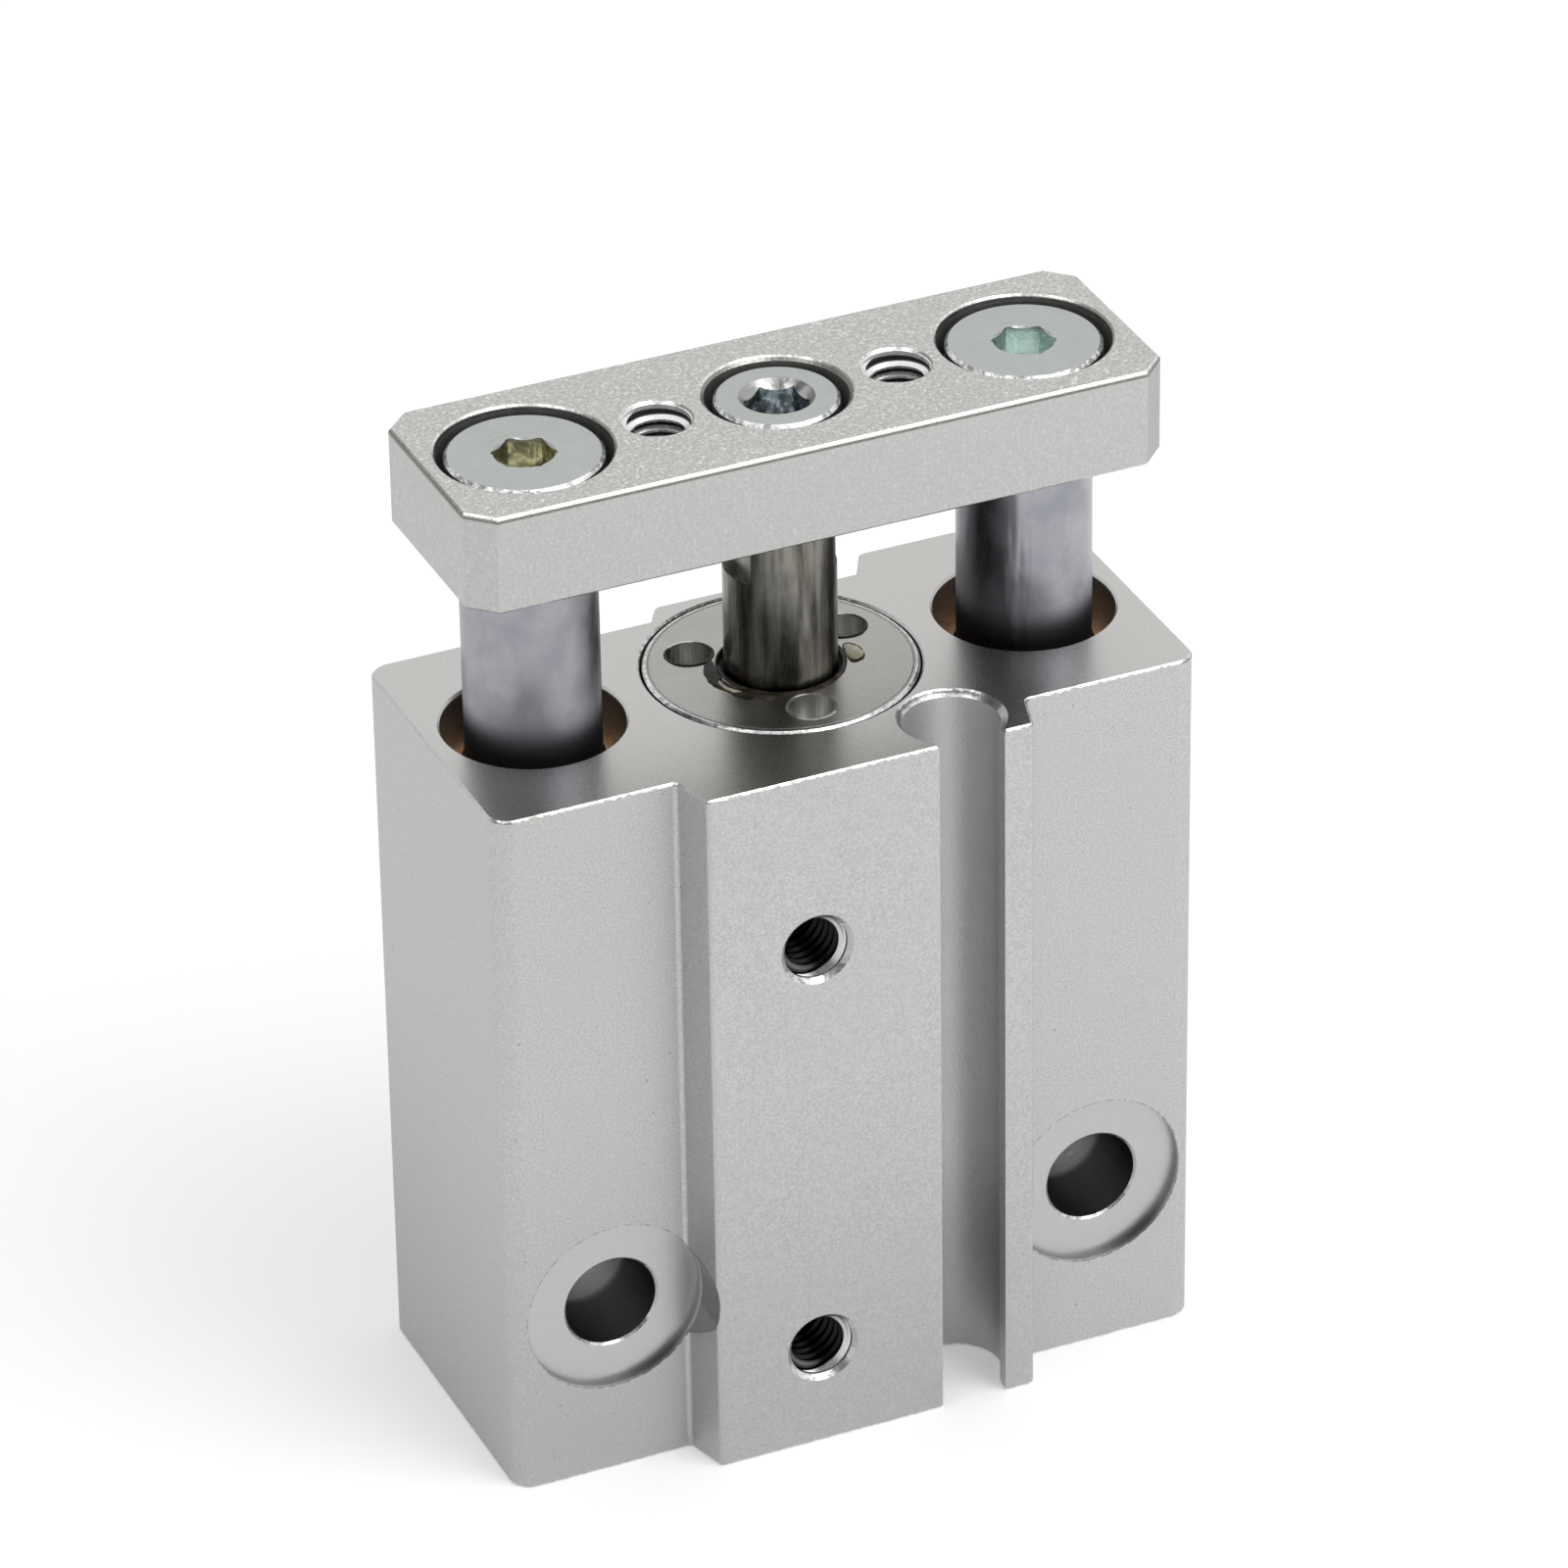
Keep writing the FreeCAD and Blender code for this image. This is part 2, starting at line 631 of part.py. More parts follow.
def make_retaining_ring():
    """An internal circlip: a ring with a gap between two eyes for the pliers."""
    body = new_body("retaining_ring", z=RING_LOW)
    outer = minus(total(HEAD_BORE_R, dim("ring_bite")), dim("ring_play"))
    inner = minus(outer, dim("ring_band"))
    band = new_sketch(body, "band", "XY_Plane")
    for radius in (outer, inner):
        draw_circle(band, ("0", "0"), radius)
    raise_pad(body, "band", band, dim("ring_thick"))
    gap_half = half(dim("ring_gap"))
    eye_r = half(dim("ring_eye_dia"))
    eye_x = total(gap_half, eye_r)
    eye_y = minus(inner, half(eye_r))
    eye_centres = [(eye_x, eye_y), (negative(eye_x), eye_y)]
    eyes = new_sketch(body, "eyes", "XY_Plane")
    for centre in eye_centres:
        draw_circle(eyes, centre, eye_r)
    raise_pad(body, "eyes", eyes, dim("ring_thick"))
    gap = new_sketch(body, "gap", "XY_Plane")
    left = negative(gap_half)
    draw_outline(gap, [(left, "0"), (gap_half, "0"), (gap_half, outer), (left, outer)])
    cut_up(body, "gap", gap)
    holes = new_sketch(body, "eye_holes", "XY_Plane")
    for centre in eye_centres:
        draw_circle(holes, centre, half(dim("ring_eye_hole")))
    cut_up(body, "eye_holes", holes)
    return body


def make_bush(name, side):
    """A bronze bush with a lead-in at each end: side is 1 for the right one, -1 for the left."""
    body = new_body(name, x=f"{side} * {GUIDE_X}", z=BUSH_LOW)
    lead = dim("edge_break")
    long = dim("bush_length")
    turn(body, "section", [
        (total(BUSH_HOLE_R, lead), "0"),
        (GUIDE_BORE_R, "0"),
        (GUIDE_BORE_R, long),
        (total(BUSH_HOLE_R, lead), long),
        (BUSH_HOLE_R, minus(long, lead)),
        (BUSH_HOLE_R, lead),
    ])
    return body


# ---------------------------------------------------------------- moving pieces

def counterbore_outline(head_dia, head_high, shank_dia, rim):
    """Half-section of a counterbored screw hole down through the plate."""
    wide = total(half(head_dia), dim("head_play_wide"))
    narrow = total(half(shank_dia), dim("shank_play"))
    top = dim("plate_thick")
    seat = minus(top, dim("head_recess"), head_high)
    return [
        ("0", "0"),
        (narrow, "0"),
        (narrow, seat),
        (wide, seat),
        (wide, minus(top, rim)),
        (total(wide, rim), top),
        ("0", top),
    ]


def make_plate():
    """The tool plate across the ends of the three rods."""
    body = new_body("plate", z=PLATE_LOW)
    end = minus(BODY_HALF, dim("plate_inset"))
    front = half(dim("plate_depth"))
    outline = new_sketch(body, "outline", "XY_Plane")
    draw_outline(outline, [
        (negative(end), negative(front)),
        (end, negative(front)),
        (end, front),
        (negative(end), front),
    ])
    raise_pad(body, "blank", outline, dim("plate_thick"))
    dress(body, "Chamfer", "corners", dim("plate_corner"), is_upright)
    break_end_edges(body)
    turn(body, "middle_counterbore", counterbore_outline(
        dim("cap_head_dia"), dim("cap_head_high"), dim("cap_shank_dia"), dim("cap_rim_break")
    ), "Groove")
    side = turn(body, "side_counterbore", counterbore_outline(
        dim("low_head_dia"), dim("low_head_high"), dim("low_shank_dia"), dim("rim_break")
    ), "Groove", x=GUIDE_X)
    tap_r = half(dim("tap_dia"))
    mouth_r = total(tap_r, dim("tap_break"))
    top = dim("plate_thick")
    tap = turn(body, "threaded_hole", [
        ("0", "0"),
        (mouth_r, "0"),
        (tap_r, dim("tap_break")),
        (tap_r, minus(top, dim("tap_break"))),
        (mouth_r, top),
        ("0", top),
    ], "Groove", x=half(dim("tap_spacing")))
    mirror_sideways(body, "other_side", [side, tap])
    return body


def make_piston_rod():
    """The rod: threaded for a screw on top, with two flats, and turned down for the piston."""
    body = new_body("piston_rod", z=PISTON_LOW)
    neck_r = half(dim("spigot_dia"))
    neck_top = minus(PISTON_TOP, PISTON_LOW)
    top = minus(PLATE_LOW, PISTON_LOW)
    hole_r = half(dim("cap_shank_dia"))
    hole_low = minus(top, dim("cap_reach"), dim("thread_spare"))
    turn(body, "section", [
        ("0", "0"),
        (neck_r, "0"),
        (neck_r, neck_top),
        (PISTON_ROD_R, neck_top),
        (PISTON_ROD_R, minus(top, dim("edge_break"))),
        (minus(PISTON_ROD_R, dim("edge_break")), top),
        (hole_r, top),
        (hole_r, hole_low),
        ("0", hole_low),
    ])
    flats = new_sketch(body, "flats", "XY_Plane", z=minus(top, dim("flat_length")))
    flat = half(dim("flat_across"))
    wide = dim("piston_rod_dia")
    for side in (1, -1):
        draw_outline(flats, [
            (f"{side} * {flat}", negative(wide)),
            (f"{side} * {wide}", negative(wide)),
            (f"{side} * {wide}", wide),
            (f"{side} * {flat}", wide),
        ])
    cut_up(body, "flats", flats)
    return body


def make_guide_rod(name, side):
    """A guide rod with a screw thread in its upper end."""
    body = new_body(name, x=f"{side} * {GUIDE_X}", z=GUIDE_TIP)
    top = minus(PLATE_LOW, GUIDE_TIP)
    hole_r = half(dim("low_shank_dia"))
    hole_low = minus(top, dim("low_reach"), dim("thread_spare"))
    tip = dim("guide_tip_break")
    turn(body, "section", [
        ("0", "0"),
        (minus(GUIDE_ROD_R, tip), "0"),
        (GUIDE_ROD_R, tip),
        (GUIDE_ROD_R, minus(top, dim("edge_break"))),
        (minus(GUIDE_ROD_R, dim("edge_break")), top),
        (hole_r, top),
        (hole_r, hole_low),
        ("0", hole_low),
    ])
    return body


def make_screw(name, head_dia, head_high, shank_dia, reach, mouth, **place):
    """A socket screw with a bevelled head and a countersunk socket; its origin is under the head."""
    body = new_body(name, **place)
    head_r = half(head_dia)
    shank_r = half(shank_dia)
    web = minus(dim("plate_thick"), dim("head_recess"), head_high)
    end = negative(total(web, reach))
    point = dim("head_break")
    turn(body, "section", [
        ("0", end),
        (minus(shank_r, point), end),
        (shank_r, total(end, point)),
        (shank_r, "0"),
        (head_r, "0"),
        (head_r, minus(head_high, point)),
        (minus(head_r, point), head_high),
        ("0", head_high),
    ])
    flat_r = half(dim("socket_across"))
    corner_r = f"({flat_r} / cos({FULL_TURN / HEX_SIDES / 2} deg))"
    socket = new_sketch(body, "socket", "XY_Plane", z=minus(head_high, dim("socket_depth")))
    corners = []
    for number in range(HEX_SIDES):
        angle = f"({dim('socket_turn')} * 1 deg + {FULL_TURN / HEX_SIDES * number} deg)"
        corners.append((f"{corner_r} * cos({angle})", f"{corner_r} * sin({angle})"))
    draw_outline(socket, corners)
    cut_up(body, "socket", socket)
    mouth_low = minus(head_high, mouth)
    turn(body, "socket_mouth", [
        ("0", mouth_low),
        (flat_r, mouth_low),
        (total(flat_r, mouth), head_high),
        ("0", head_high),
    ], "Groove")
    return body


def make_guide_rod_screws():
    """Both guide rod screws, as two solids in one group."""
    seat = minus(total(PLATE_LOW, dim("plate_thick")), dim("head_recess"), dim("low_head_high"))
    screws = []
    for name, side in (("left_screw", -1), ("right_screw", 1)):
        screws.append(make_screw(
            name, dim("low_head_dia"), dim("low_head_high"), dim("low_shank_dia"),
            dim("low_reach"), dim("low_mouth"), x=f"{side} * {GUIDE_X}", z=seat,
        ))
    group = doc.addObject("Part::Compound", "guide_rod_screws")
    group.Label = "guide_rod_screws"
    group.Links = screws
    return group


def make_piston_rod_screw():
    seat = minus(total(PLATE_LOW, dim("plate_thick")), dim("head_recess"), dim("cap_head_high"))
    return make_screw(
        "piston_rod_screw", dim("cap_head_dia"), dim("cap_head_high"), dim("cap_shank_dia"),
        dim("cap_reach"), dim("cap_mouth"), z=seat,
    )


PISTON_R = minus(BORE_R, dim("piston_play"))
SPIGOT_R = half(dim("spigot_dia"))
BUMPER_SUNK = minus(dim("bumper_thick"), dim("bumper_proud"))
BUMPER_IN_R = total(PISTON_ROD_R, dim("bumper_gap"))
BUMPER_OUT_R = minus(PISTON_R, dim("bumper_inset"))
PISTON_SEAL_OUT = minus(BORE_R, dim("seal_play"))
PISTON_SEAL_IN = minus(PISTON_SEAL_OUT, dim("seal_deep"))


def bumper_seat(end, floor):
    """Corners of the ring-shaped recess that holds a bumper, from the outside in."""
    return [
        (BUMPER_OUT_R, end),
        (BUMPER_OUT_R, floor),
        (BUMPER_IN_R, floor),
        (BUMPER_IN_R, end),
    ]


def make_piston_rear():
    """The rear half of the piston, with a seat for its bumper."""
    body = new_body("piston_rear", z=PISTON_LOW)
    long = dim("piston_rear_long")
    turn(body, "section", [
        (SPIGOT_R, long),
        (PISTON_R, long),
        (PISTON_R, "0"),
        *bumper_seat("0", BUMPER_SUNK),
        (SPIGOT_R, "0"),
    ])
    return body


MAGNET_HUB_R = total(SPIGOT_R, dim("magnet_inset"))


def make_magnet():
    """The ring magnet on the front half's hub."""
    body = new_body("magnet", z=total(PISTON_LOW, dim("piston_rear_long")))
    outer = minus(PISTON_R, dim("magnet_inset"))
    turn(body, "section", ring_outline(MAGNET_HUB_R, outer, "0", dim("magnet_thick")))
    return body


def make_piston_front():
    """The front half: a hub through the magnet, the seal's groove and the front bumper's seat."""
    body = new_body("piston_front", z=minus(PISTON_TOP, dim("piston_front_long")))
    long = dim("piston_front_long")
    foot = dim("piston_seal_foot")
    seal_top = total(foot, dim("seal_high"))
    gasket_low = minus(long, dim("cord_wide"))
    gasket_r = total(SPIGOT_R, dim("cord_dia"))
    turn(body, "section", [
        (SPIGOT_R, negative(dim("magnet_thick"))),
        (MAGNET_HUB_R, negative(dim("magnet_thick"))),
        (MAGNET_HUB_R, "0"),
        (PISTON_R, "0"),
        (PISTON_R, foot),
        (PISTON_SEAL_IN, foot),
        (PISTON_SEAL_IN, seal_top),
        (PISTON_R, seal_top),
        (PISTON_R, long),
        *bumper_seat(long, minus(long, BUMPER_SUNK)),
        (gasket_r, long),
        (gasket_r, gasket_low),
        (SPIGOT_R, gasket_low),
    ])
    return body


def make_piston_seal():
    body = new_body("piston_seal", z=minus(PISTON_TOP, dim("piston_front_long")))
    turn(body, "section", lip_seal_outline(
        PISTON_SEAL_IN, PISTON_SEAL_OUT, dim("piston_seal_foot"), 1
    ))
    return body


def make_bumper(name, height):
    body = new_body(name, z=height)
    turn(body, "section", ring_outline(BUMPER_IN_R, BUMPER_OUT_R, "0", dim("bumper_thick")))
    return body


# ---------------------------------------------------------------- the whole cylinder

def make_all():
    """Every sub-part, in the order in which it is put together."""
    head_cord_z = total(HEAD_LOW, half(dim("head_length")))
    cover_cord_z = total(COVER_SEAT, dim("cover_cord_foot"), half(dim("cord_room")))
    gasket_z = minus(PISTON_TOP, half(dim("cord_wide")))
    parts = [
        make_body(),
        make_rod_cover(),
        make_rod_seal(),
        make_cord_ring("rod_cover_gasket", COVER_BORE_R, cover_cord_z),
        make_head_cover(),
        make_cord_ring("head_cover_gasket", HEAD_BORE_R, head_cord_z),
        make_retaining_ring(),
        make_bush("left_bush", -1),
        make_bush("right_bush", 1),
        make_plate(),
        make_piston_rod(),
        make_guide_rod("left_guide_rod", -1),
        make_guide_rod("right_guide_rod", 1),
        make_guide_rod_screws(),
        make_piston_rod_screw(),
        make_piston_rear(),
        make_magnet(),
        make_piston_front(),
        make_piston_seal(),
        make_cord_ring("piston_gasket", total(SPIGOT_R, dim("cord_dia")), gasket_z),
        make_bumper("rod_bumper", minus(PISTON_TOP, BUMPER_SUNK)),
        make_bumper("head_bumper", minus(PISTON_LOW, dim("bumper_proud"))),
    ]
    doc.recompute()
    return parts


def check_and_write(parts):
    """Stops on a failed object or a bad shape, then writes one file for each sub-part."""
    failed = [item.Label for item in doc.Objects if {"Invalid", "Error"} & set(item.State)]
    failed += [part.Label for part in parts if part.Shape.isNull() or not part.Shape.isValid()]
    if failed:
        raise ValueError("failed: " + ", ".join(failed))
    os.makedirs("parts", exist_ok=True)
    for part in parts:
        part.Shape.exportStep(f"parts/{part.Label}.step")
        print(part.Label, len(part.Shape.Solids), round(part.Shape.Volume, 3))


check_and_write(make_all())
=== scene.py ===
# %% [markdown]
# # A small guided air cylinder
#
# The real object is an aluminium block with a piston in the middle and a guide rod on each side.
# All three rods carry one plate, which goes up and down without turning.
# Its shapes are already made to size. This lesson sets up the camera, the table and the
# light, gives every piece its finish, and adds what the shapes leave out: the screw threads
# and a little grease.

import json
import math

import bpy
from mathutils import Matrix, Vector


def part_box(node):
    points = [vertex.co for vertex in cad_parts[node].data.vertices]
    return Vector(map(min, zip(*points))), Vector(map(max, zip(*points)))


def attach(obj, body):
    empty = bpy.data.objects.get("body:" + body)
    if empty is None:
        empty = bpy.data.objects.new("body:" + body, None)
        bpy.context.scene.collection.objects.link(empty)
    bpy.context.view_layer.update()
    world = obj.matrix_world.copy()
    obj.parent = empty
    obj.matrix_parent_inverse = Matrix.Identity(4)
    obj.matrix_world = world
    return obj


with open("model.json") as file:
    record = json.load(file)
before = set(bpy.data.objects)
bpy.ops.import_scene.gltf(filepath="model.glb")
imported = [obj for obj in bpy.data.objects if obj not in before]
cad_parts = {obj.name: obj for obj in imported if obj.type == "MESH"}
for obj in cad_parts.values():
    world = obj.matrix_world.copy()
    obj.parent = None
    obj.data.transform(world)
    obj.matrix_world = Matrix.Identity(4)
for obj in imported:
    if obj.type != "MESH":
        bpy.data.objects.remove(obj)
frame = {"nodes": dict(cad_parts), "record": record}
nodes = frame["nodes"]
bpy.context.view_layer.update()

# %% [markdown]
# ## Sizes
#
# Blender works in metres here, but the parts are drawn in millimetres, and `MM` changes one
# into the other. What a finish or a thread has to find, such as the height of the block or
# the place of a port, could be typed in, but then it would be wrong as soon as the part
# changed. So it is read from the loaded shapes and their list of mounts.

# %% Sizes read from the shapes
MM = 0.001


def span(node, axis):
    """Lowest and highest place of a piece along one axis, in millimetres."""
    low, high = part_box(node)
    return low[axis] / MM, high[axis] / MM


X, Y, Z = 0, 1, 2
mounts = {mount["name"]: mount for mount in frame["record"]["mounts"]}
body_top = span("body", Z)[1]
plate_low, plate_top = span("plate", Z)
guide_place = sum(span("right_guide_rod", X)) / 2
guide_bore = span("right_bush", X)[1] - guide_place
print(f"body {body_top:.2f} high, plate {plate_low:.2f} to {plate_top:.2f}")

# %% [markdown]
# ## Camera
#
# A long lens far from the part keeps its upright edges nearly parallel, as in a catalogue
# picture. The camera could be set by its place and three angles, but those say little to a
# reader. Here it sits on a sphere round the point it looks at, by an azimuth and an
# elevation, and is then rolled by less than a degree.

# %% Camera
LOOK_AT = Vector((1.33, 2.92, 26.27)) * MM
DISTANCE = 395 * MM
AZIMUTH, ELEVATION, ROLL = -23.617, 30.884, -0.911
LENS = 204.7
NEAREST, FARTHEST = 0.01, 20


def on_sphere(azimuth, elevation):
    """Direction from the part towards a place round it; azimuth 0 is in front of the ports."""
    a, e = math.radians(azimuth), math.radians(elevation)
    return Vector((math.sin(a) * math.cos(e), -math.cos(a) * math.cos(e), math.sin(e)))


def aim(thing, target, direction, distance, roll=0.0):
    """Puts a camera or a lamp at a distance from its target and turns it to look there."""
    thing.location = target + direction * distance
    look = (-direction).to_track_quat("-Z", "Y").to_matrix().to_4x4()
    thing.rotation_euler = (look @ Matrix.Rotation(math.radians(roll), 4, "Z")).to_euler()


camera = bpy.data.objects.new("camera", bpy.data.cameras.new("camera"))
camera.data.lens = LENS
camera.data.clip_start = NEAREST
camera.data.clip_end = FARTHEST
bpy.context.scene.collection.objects.link(camera)
bpy.context.scene.camera = camera
aim(camera, LOOK_AT, on_sphere(AZIMUTH, ELEVATION), DISTANCE, ROLL)
print("camera at", camera.location / MM)

# %% [markdown]
# ## Node helper
#
# A material and a Geometry Nodes tree are both graphs. Adding a node always takes the same
# three steps: make it, set its choices, then fill or link its inputs. One function does all
# three, so that a finish reads as a short recipe. Math nodes are needed most, so they get a
# shorter call.

# %% Node helpers
def add_node(tree, kind, inputs=None, **choices):
    """Adds a node. An input may be a plain value or the output socket of another node."""
    made = tree.nodes.new(kind)
    for name, choice in choices.items():
        setattr(made, name, choice)
    for key, value in (inputs or {}).items():
        if isinstance(value, bpy.types.NodeSocket):
            tree.links.new(value, made.inputs[key])
        else:
            made.inputs[key].default_value = value
    return made


def maths_for(tree):
    """A short call that adds one Math node to this tree and returns its result."""
    def maths(operation, a, b=0.0):
        return add_node(tree, "ShaderNodeMath", {0: a, 1: b}, operation=operation).outputs[0]
    return maths


# %% [markdown]
# ## Table and light
#
# Metal shows what stands round it, so a plain white surround makes the part look like metal
# and not like paint. The table is a pale sheet that keeps the part's soft shadow. It lies a
# hair below the part, because two surfaces in one place would flicker through each other,
# and it is clear from below, so that the underside can be looked at too. The world is white
# where the camera or a reflection sees it, and a little weaker as light.

# %% Table and surround
TABLE_SIZE = 6.0
TABLE_GREY = 0.9
TABLE_GLOW = 0.24
TABLE_GAP = 0.01 * MM
WORLD_FILL = 0.62


def seen(tree):
    """1 for rays that show a surface to the eye, straight, in metal or in glass; 0 for light."""
    maths = maths_for(tree)
    rays = add_node(tree, "ShaderNodeLightPath").outputs
    straight = maths("MAXIMUM", rays["Is Camera Ray"], rays["Is Glossy Ray"])
    return maths("MAXIMUM", straight, rays["Is Transmission Ray"])


def make_table():
    """A wide pale sheet under the part, with only its upper side to be seen."""
    half = TABLE_SIZE / 2
    mesh = bpy.data.meshes.new("table")
    mesh.from_pydata([(-half, -half, -TABLE_GAP), (half, -half, -TABLE_GAP),
                      (half, half, -TABLE_GAP), (-half, half, -TABLE_GAP)], [], [(0, 1, 2, 3)])
    table = bpy.data.objects.new("table", mesh)
    bpy.context.scene.collection.objects.link(table)
    material = bpy.data.materials.new("table_paper")
    material.use_nodes = True
    tree = material.node_tree
    shader = tree.nodes["Principled BSDF"]
    shader.inputs["Base Color"].default_value = (TABLE_GREY, TABLE_GREY, TABLE_GREY, 1)
    shader.inputs["Roughness"].default_value = 0.9
    shader.inputs["Specular IOR Level"].default_value = 0.0
    shader.inputs["Emission Color"].default_value = (1, 1, 1, 1)
    glow = maths_for(tree)("MULTIPLY", seen(tree), TABLE_GLOW)
    tree.links.new(glow, shader.inputs["Emission Strength"])
    below = add_node(tree, "ShaderNodeNewGeometry").outputs["Backfacing"]
    clear = add_node(tree, "ShaderNodeBsdfTransparent").outputs[0]
    sheet = add_node(tree, "ShaderNodeMixShader", {0: below, 1: shader.outputs[0], 2: clear})
    tree.links.new(sheet.outputs[0], tree.nodes["Material Output"].inputs["Surface"])
    mesh.materials.append(material)


def make_world():
    """A white surround: full strength to the eye, WORLD_FILL as light."""
    world = bpy.data.worlds.new("white_surround")
    bpy.context.scene.world = world
    world.use_nodes = True
    tree = world.node_tree
    strength = add_node(tree, "ShaderNodeMapRange", {"Value": seen(tree), "To Min": WORLD_FILL})
    tree.links.new(strength.outputs["Result"], tree.nodes["Background"].inputs["Strength"])
    tree.nodes["Background"].inputs["Color"].default_value = (1, 1, 1, 1)


make_table()
make_world()
bpy.context.scene.view_settings.view_transform = "Standard"
print("table and surround ready")

# %% [markdown]
# ### Lamps
#
# Three soft lamps give the block its gentle shading. The key stands high at the right of the
# camera, where the bevels of the front edges reflect it as bright lines. The second one is
# low and close on the same side, so that the front faces grow lighter towards the right.
# The third stands high at the left, for the narrow side and the bevel of its corner. One big
# lamp would be simpler, but it would light every face alike.

# %% Lamps
def add_lamp(name, azimuth, elevation, distance, width, power):
    """A square soft lamp that points at the part: metres for its sizes, watts for its power."""
    lamp = bpy.data.objects.new(name, bpy.data.lights.new(name, "AREA"))
    lamp.data.shape = "SQUARE"
    lamp.data.size = width
    lamp.data.energy = power
    bpy.context.scene.collection.objects.link(lamp)
    aim(lamp, LOOK_AT, on_sphere(azimuth, elevation), distance)


add_lamp("key_lamp", 35, 58, 0.9, 0.5, 2.6)
add_lamp("side_lamp", 42, 12, 0.35, 0.25, 0.16)
add_lamp("left_lamp", -76, 53, 0.9, 0.35, 0.6)
print("lamps ready")

# %% [markdown]
# ### Dark card
#
# In a studio the room behind the camera is dark. Polished rods and a satin top face would
# look like plastic without that darkness to reflect, so a curved dark card stands
# behind the camera and to its left. Only reflections see it: it takes no light away from
# the part, as a darker world would.

# %% Dark card
CARD_DISTANCE = 1.2
CARD_LEVEL = 0.1
CARD_AZIMUTHS = (-115, 20)
CARD_ELEVATIONS = (16, 48)


def make_card(azimuths, elevations, steps=12):
    """A piece of a sphere round the part, between two azimuths and two elevations."""
    places = []
    for elevation in elevations:
        for number in range(steps + 1):
            azimuth = azimuths[0] + (azimuths[1] - azimuths[0]) * number / steps
            places.append(LOOK_AT + on_sphere(azimuth, elevation) * CARD_DISTANCE)
    faces = [(n, n + 1, n + steps + 2, n + steps + 1) for n in range(steps)]
    mesh = bpy.data.meshes.new("dark_card")
    mesh.from_pydata(places, [], faces)
    card = bpy.data.objects.new("dark_card", mesh)
    bpy.context.scene.collection.objects.link(card)
    card.visible_camera = False
    card.visible_diffuse = False
    card.visible_shadow = False
    card.visible_transmission = False
    material = bpy.data.materials.new("dark_card")
    material.use_nodes = True
    tree = material.node_tree
    tree.nodes.clear()
    glow = add_node(tree, "ShaderNodeEmission", {"Color": (1, 1, 1, 1), "Strength": CARD_LEVEL})
    add_node(tree, "ShaderNodeOutputMaterial", {"Surface": glow.outputs[0]})
    mesh.materials.append(material)


make_card(CARD_AZIMUTHS, CARD_ELEVATIONS)
print("card ready")

# %% [markdown]
# ## How a finish is built
#
# Each finish is one Principled shader. Painted textures would need unwrapping and show
# seams, so the patterns read Object coordinates instead and are the same from every side.
# `Finish` keeps the shader, the coordinates in millimetres, and a few short calls: noise of
# a given grain, a soft step, a blend of two colours, a bump of a given height, and masks
# that find holes, rings, bevels and edges. In a recipe, `f` is the finish being made.

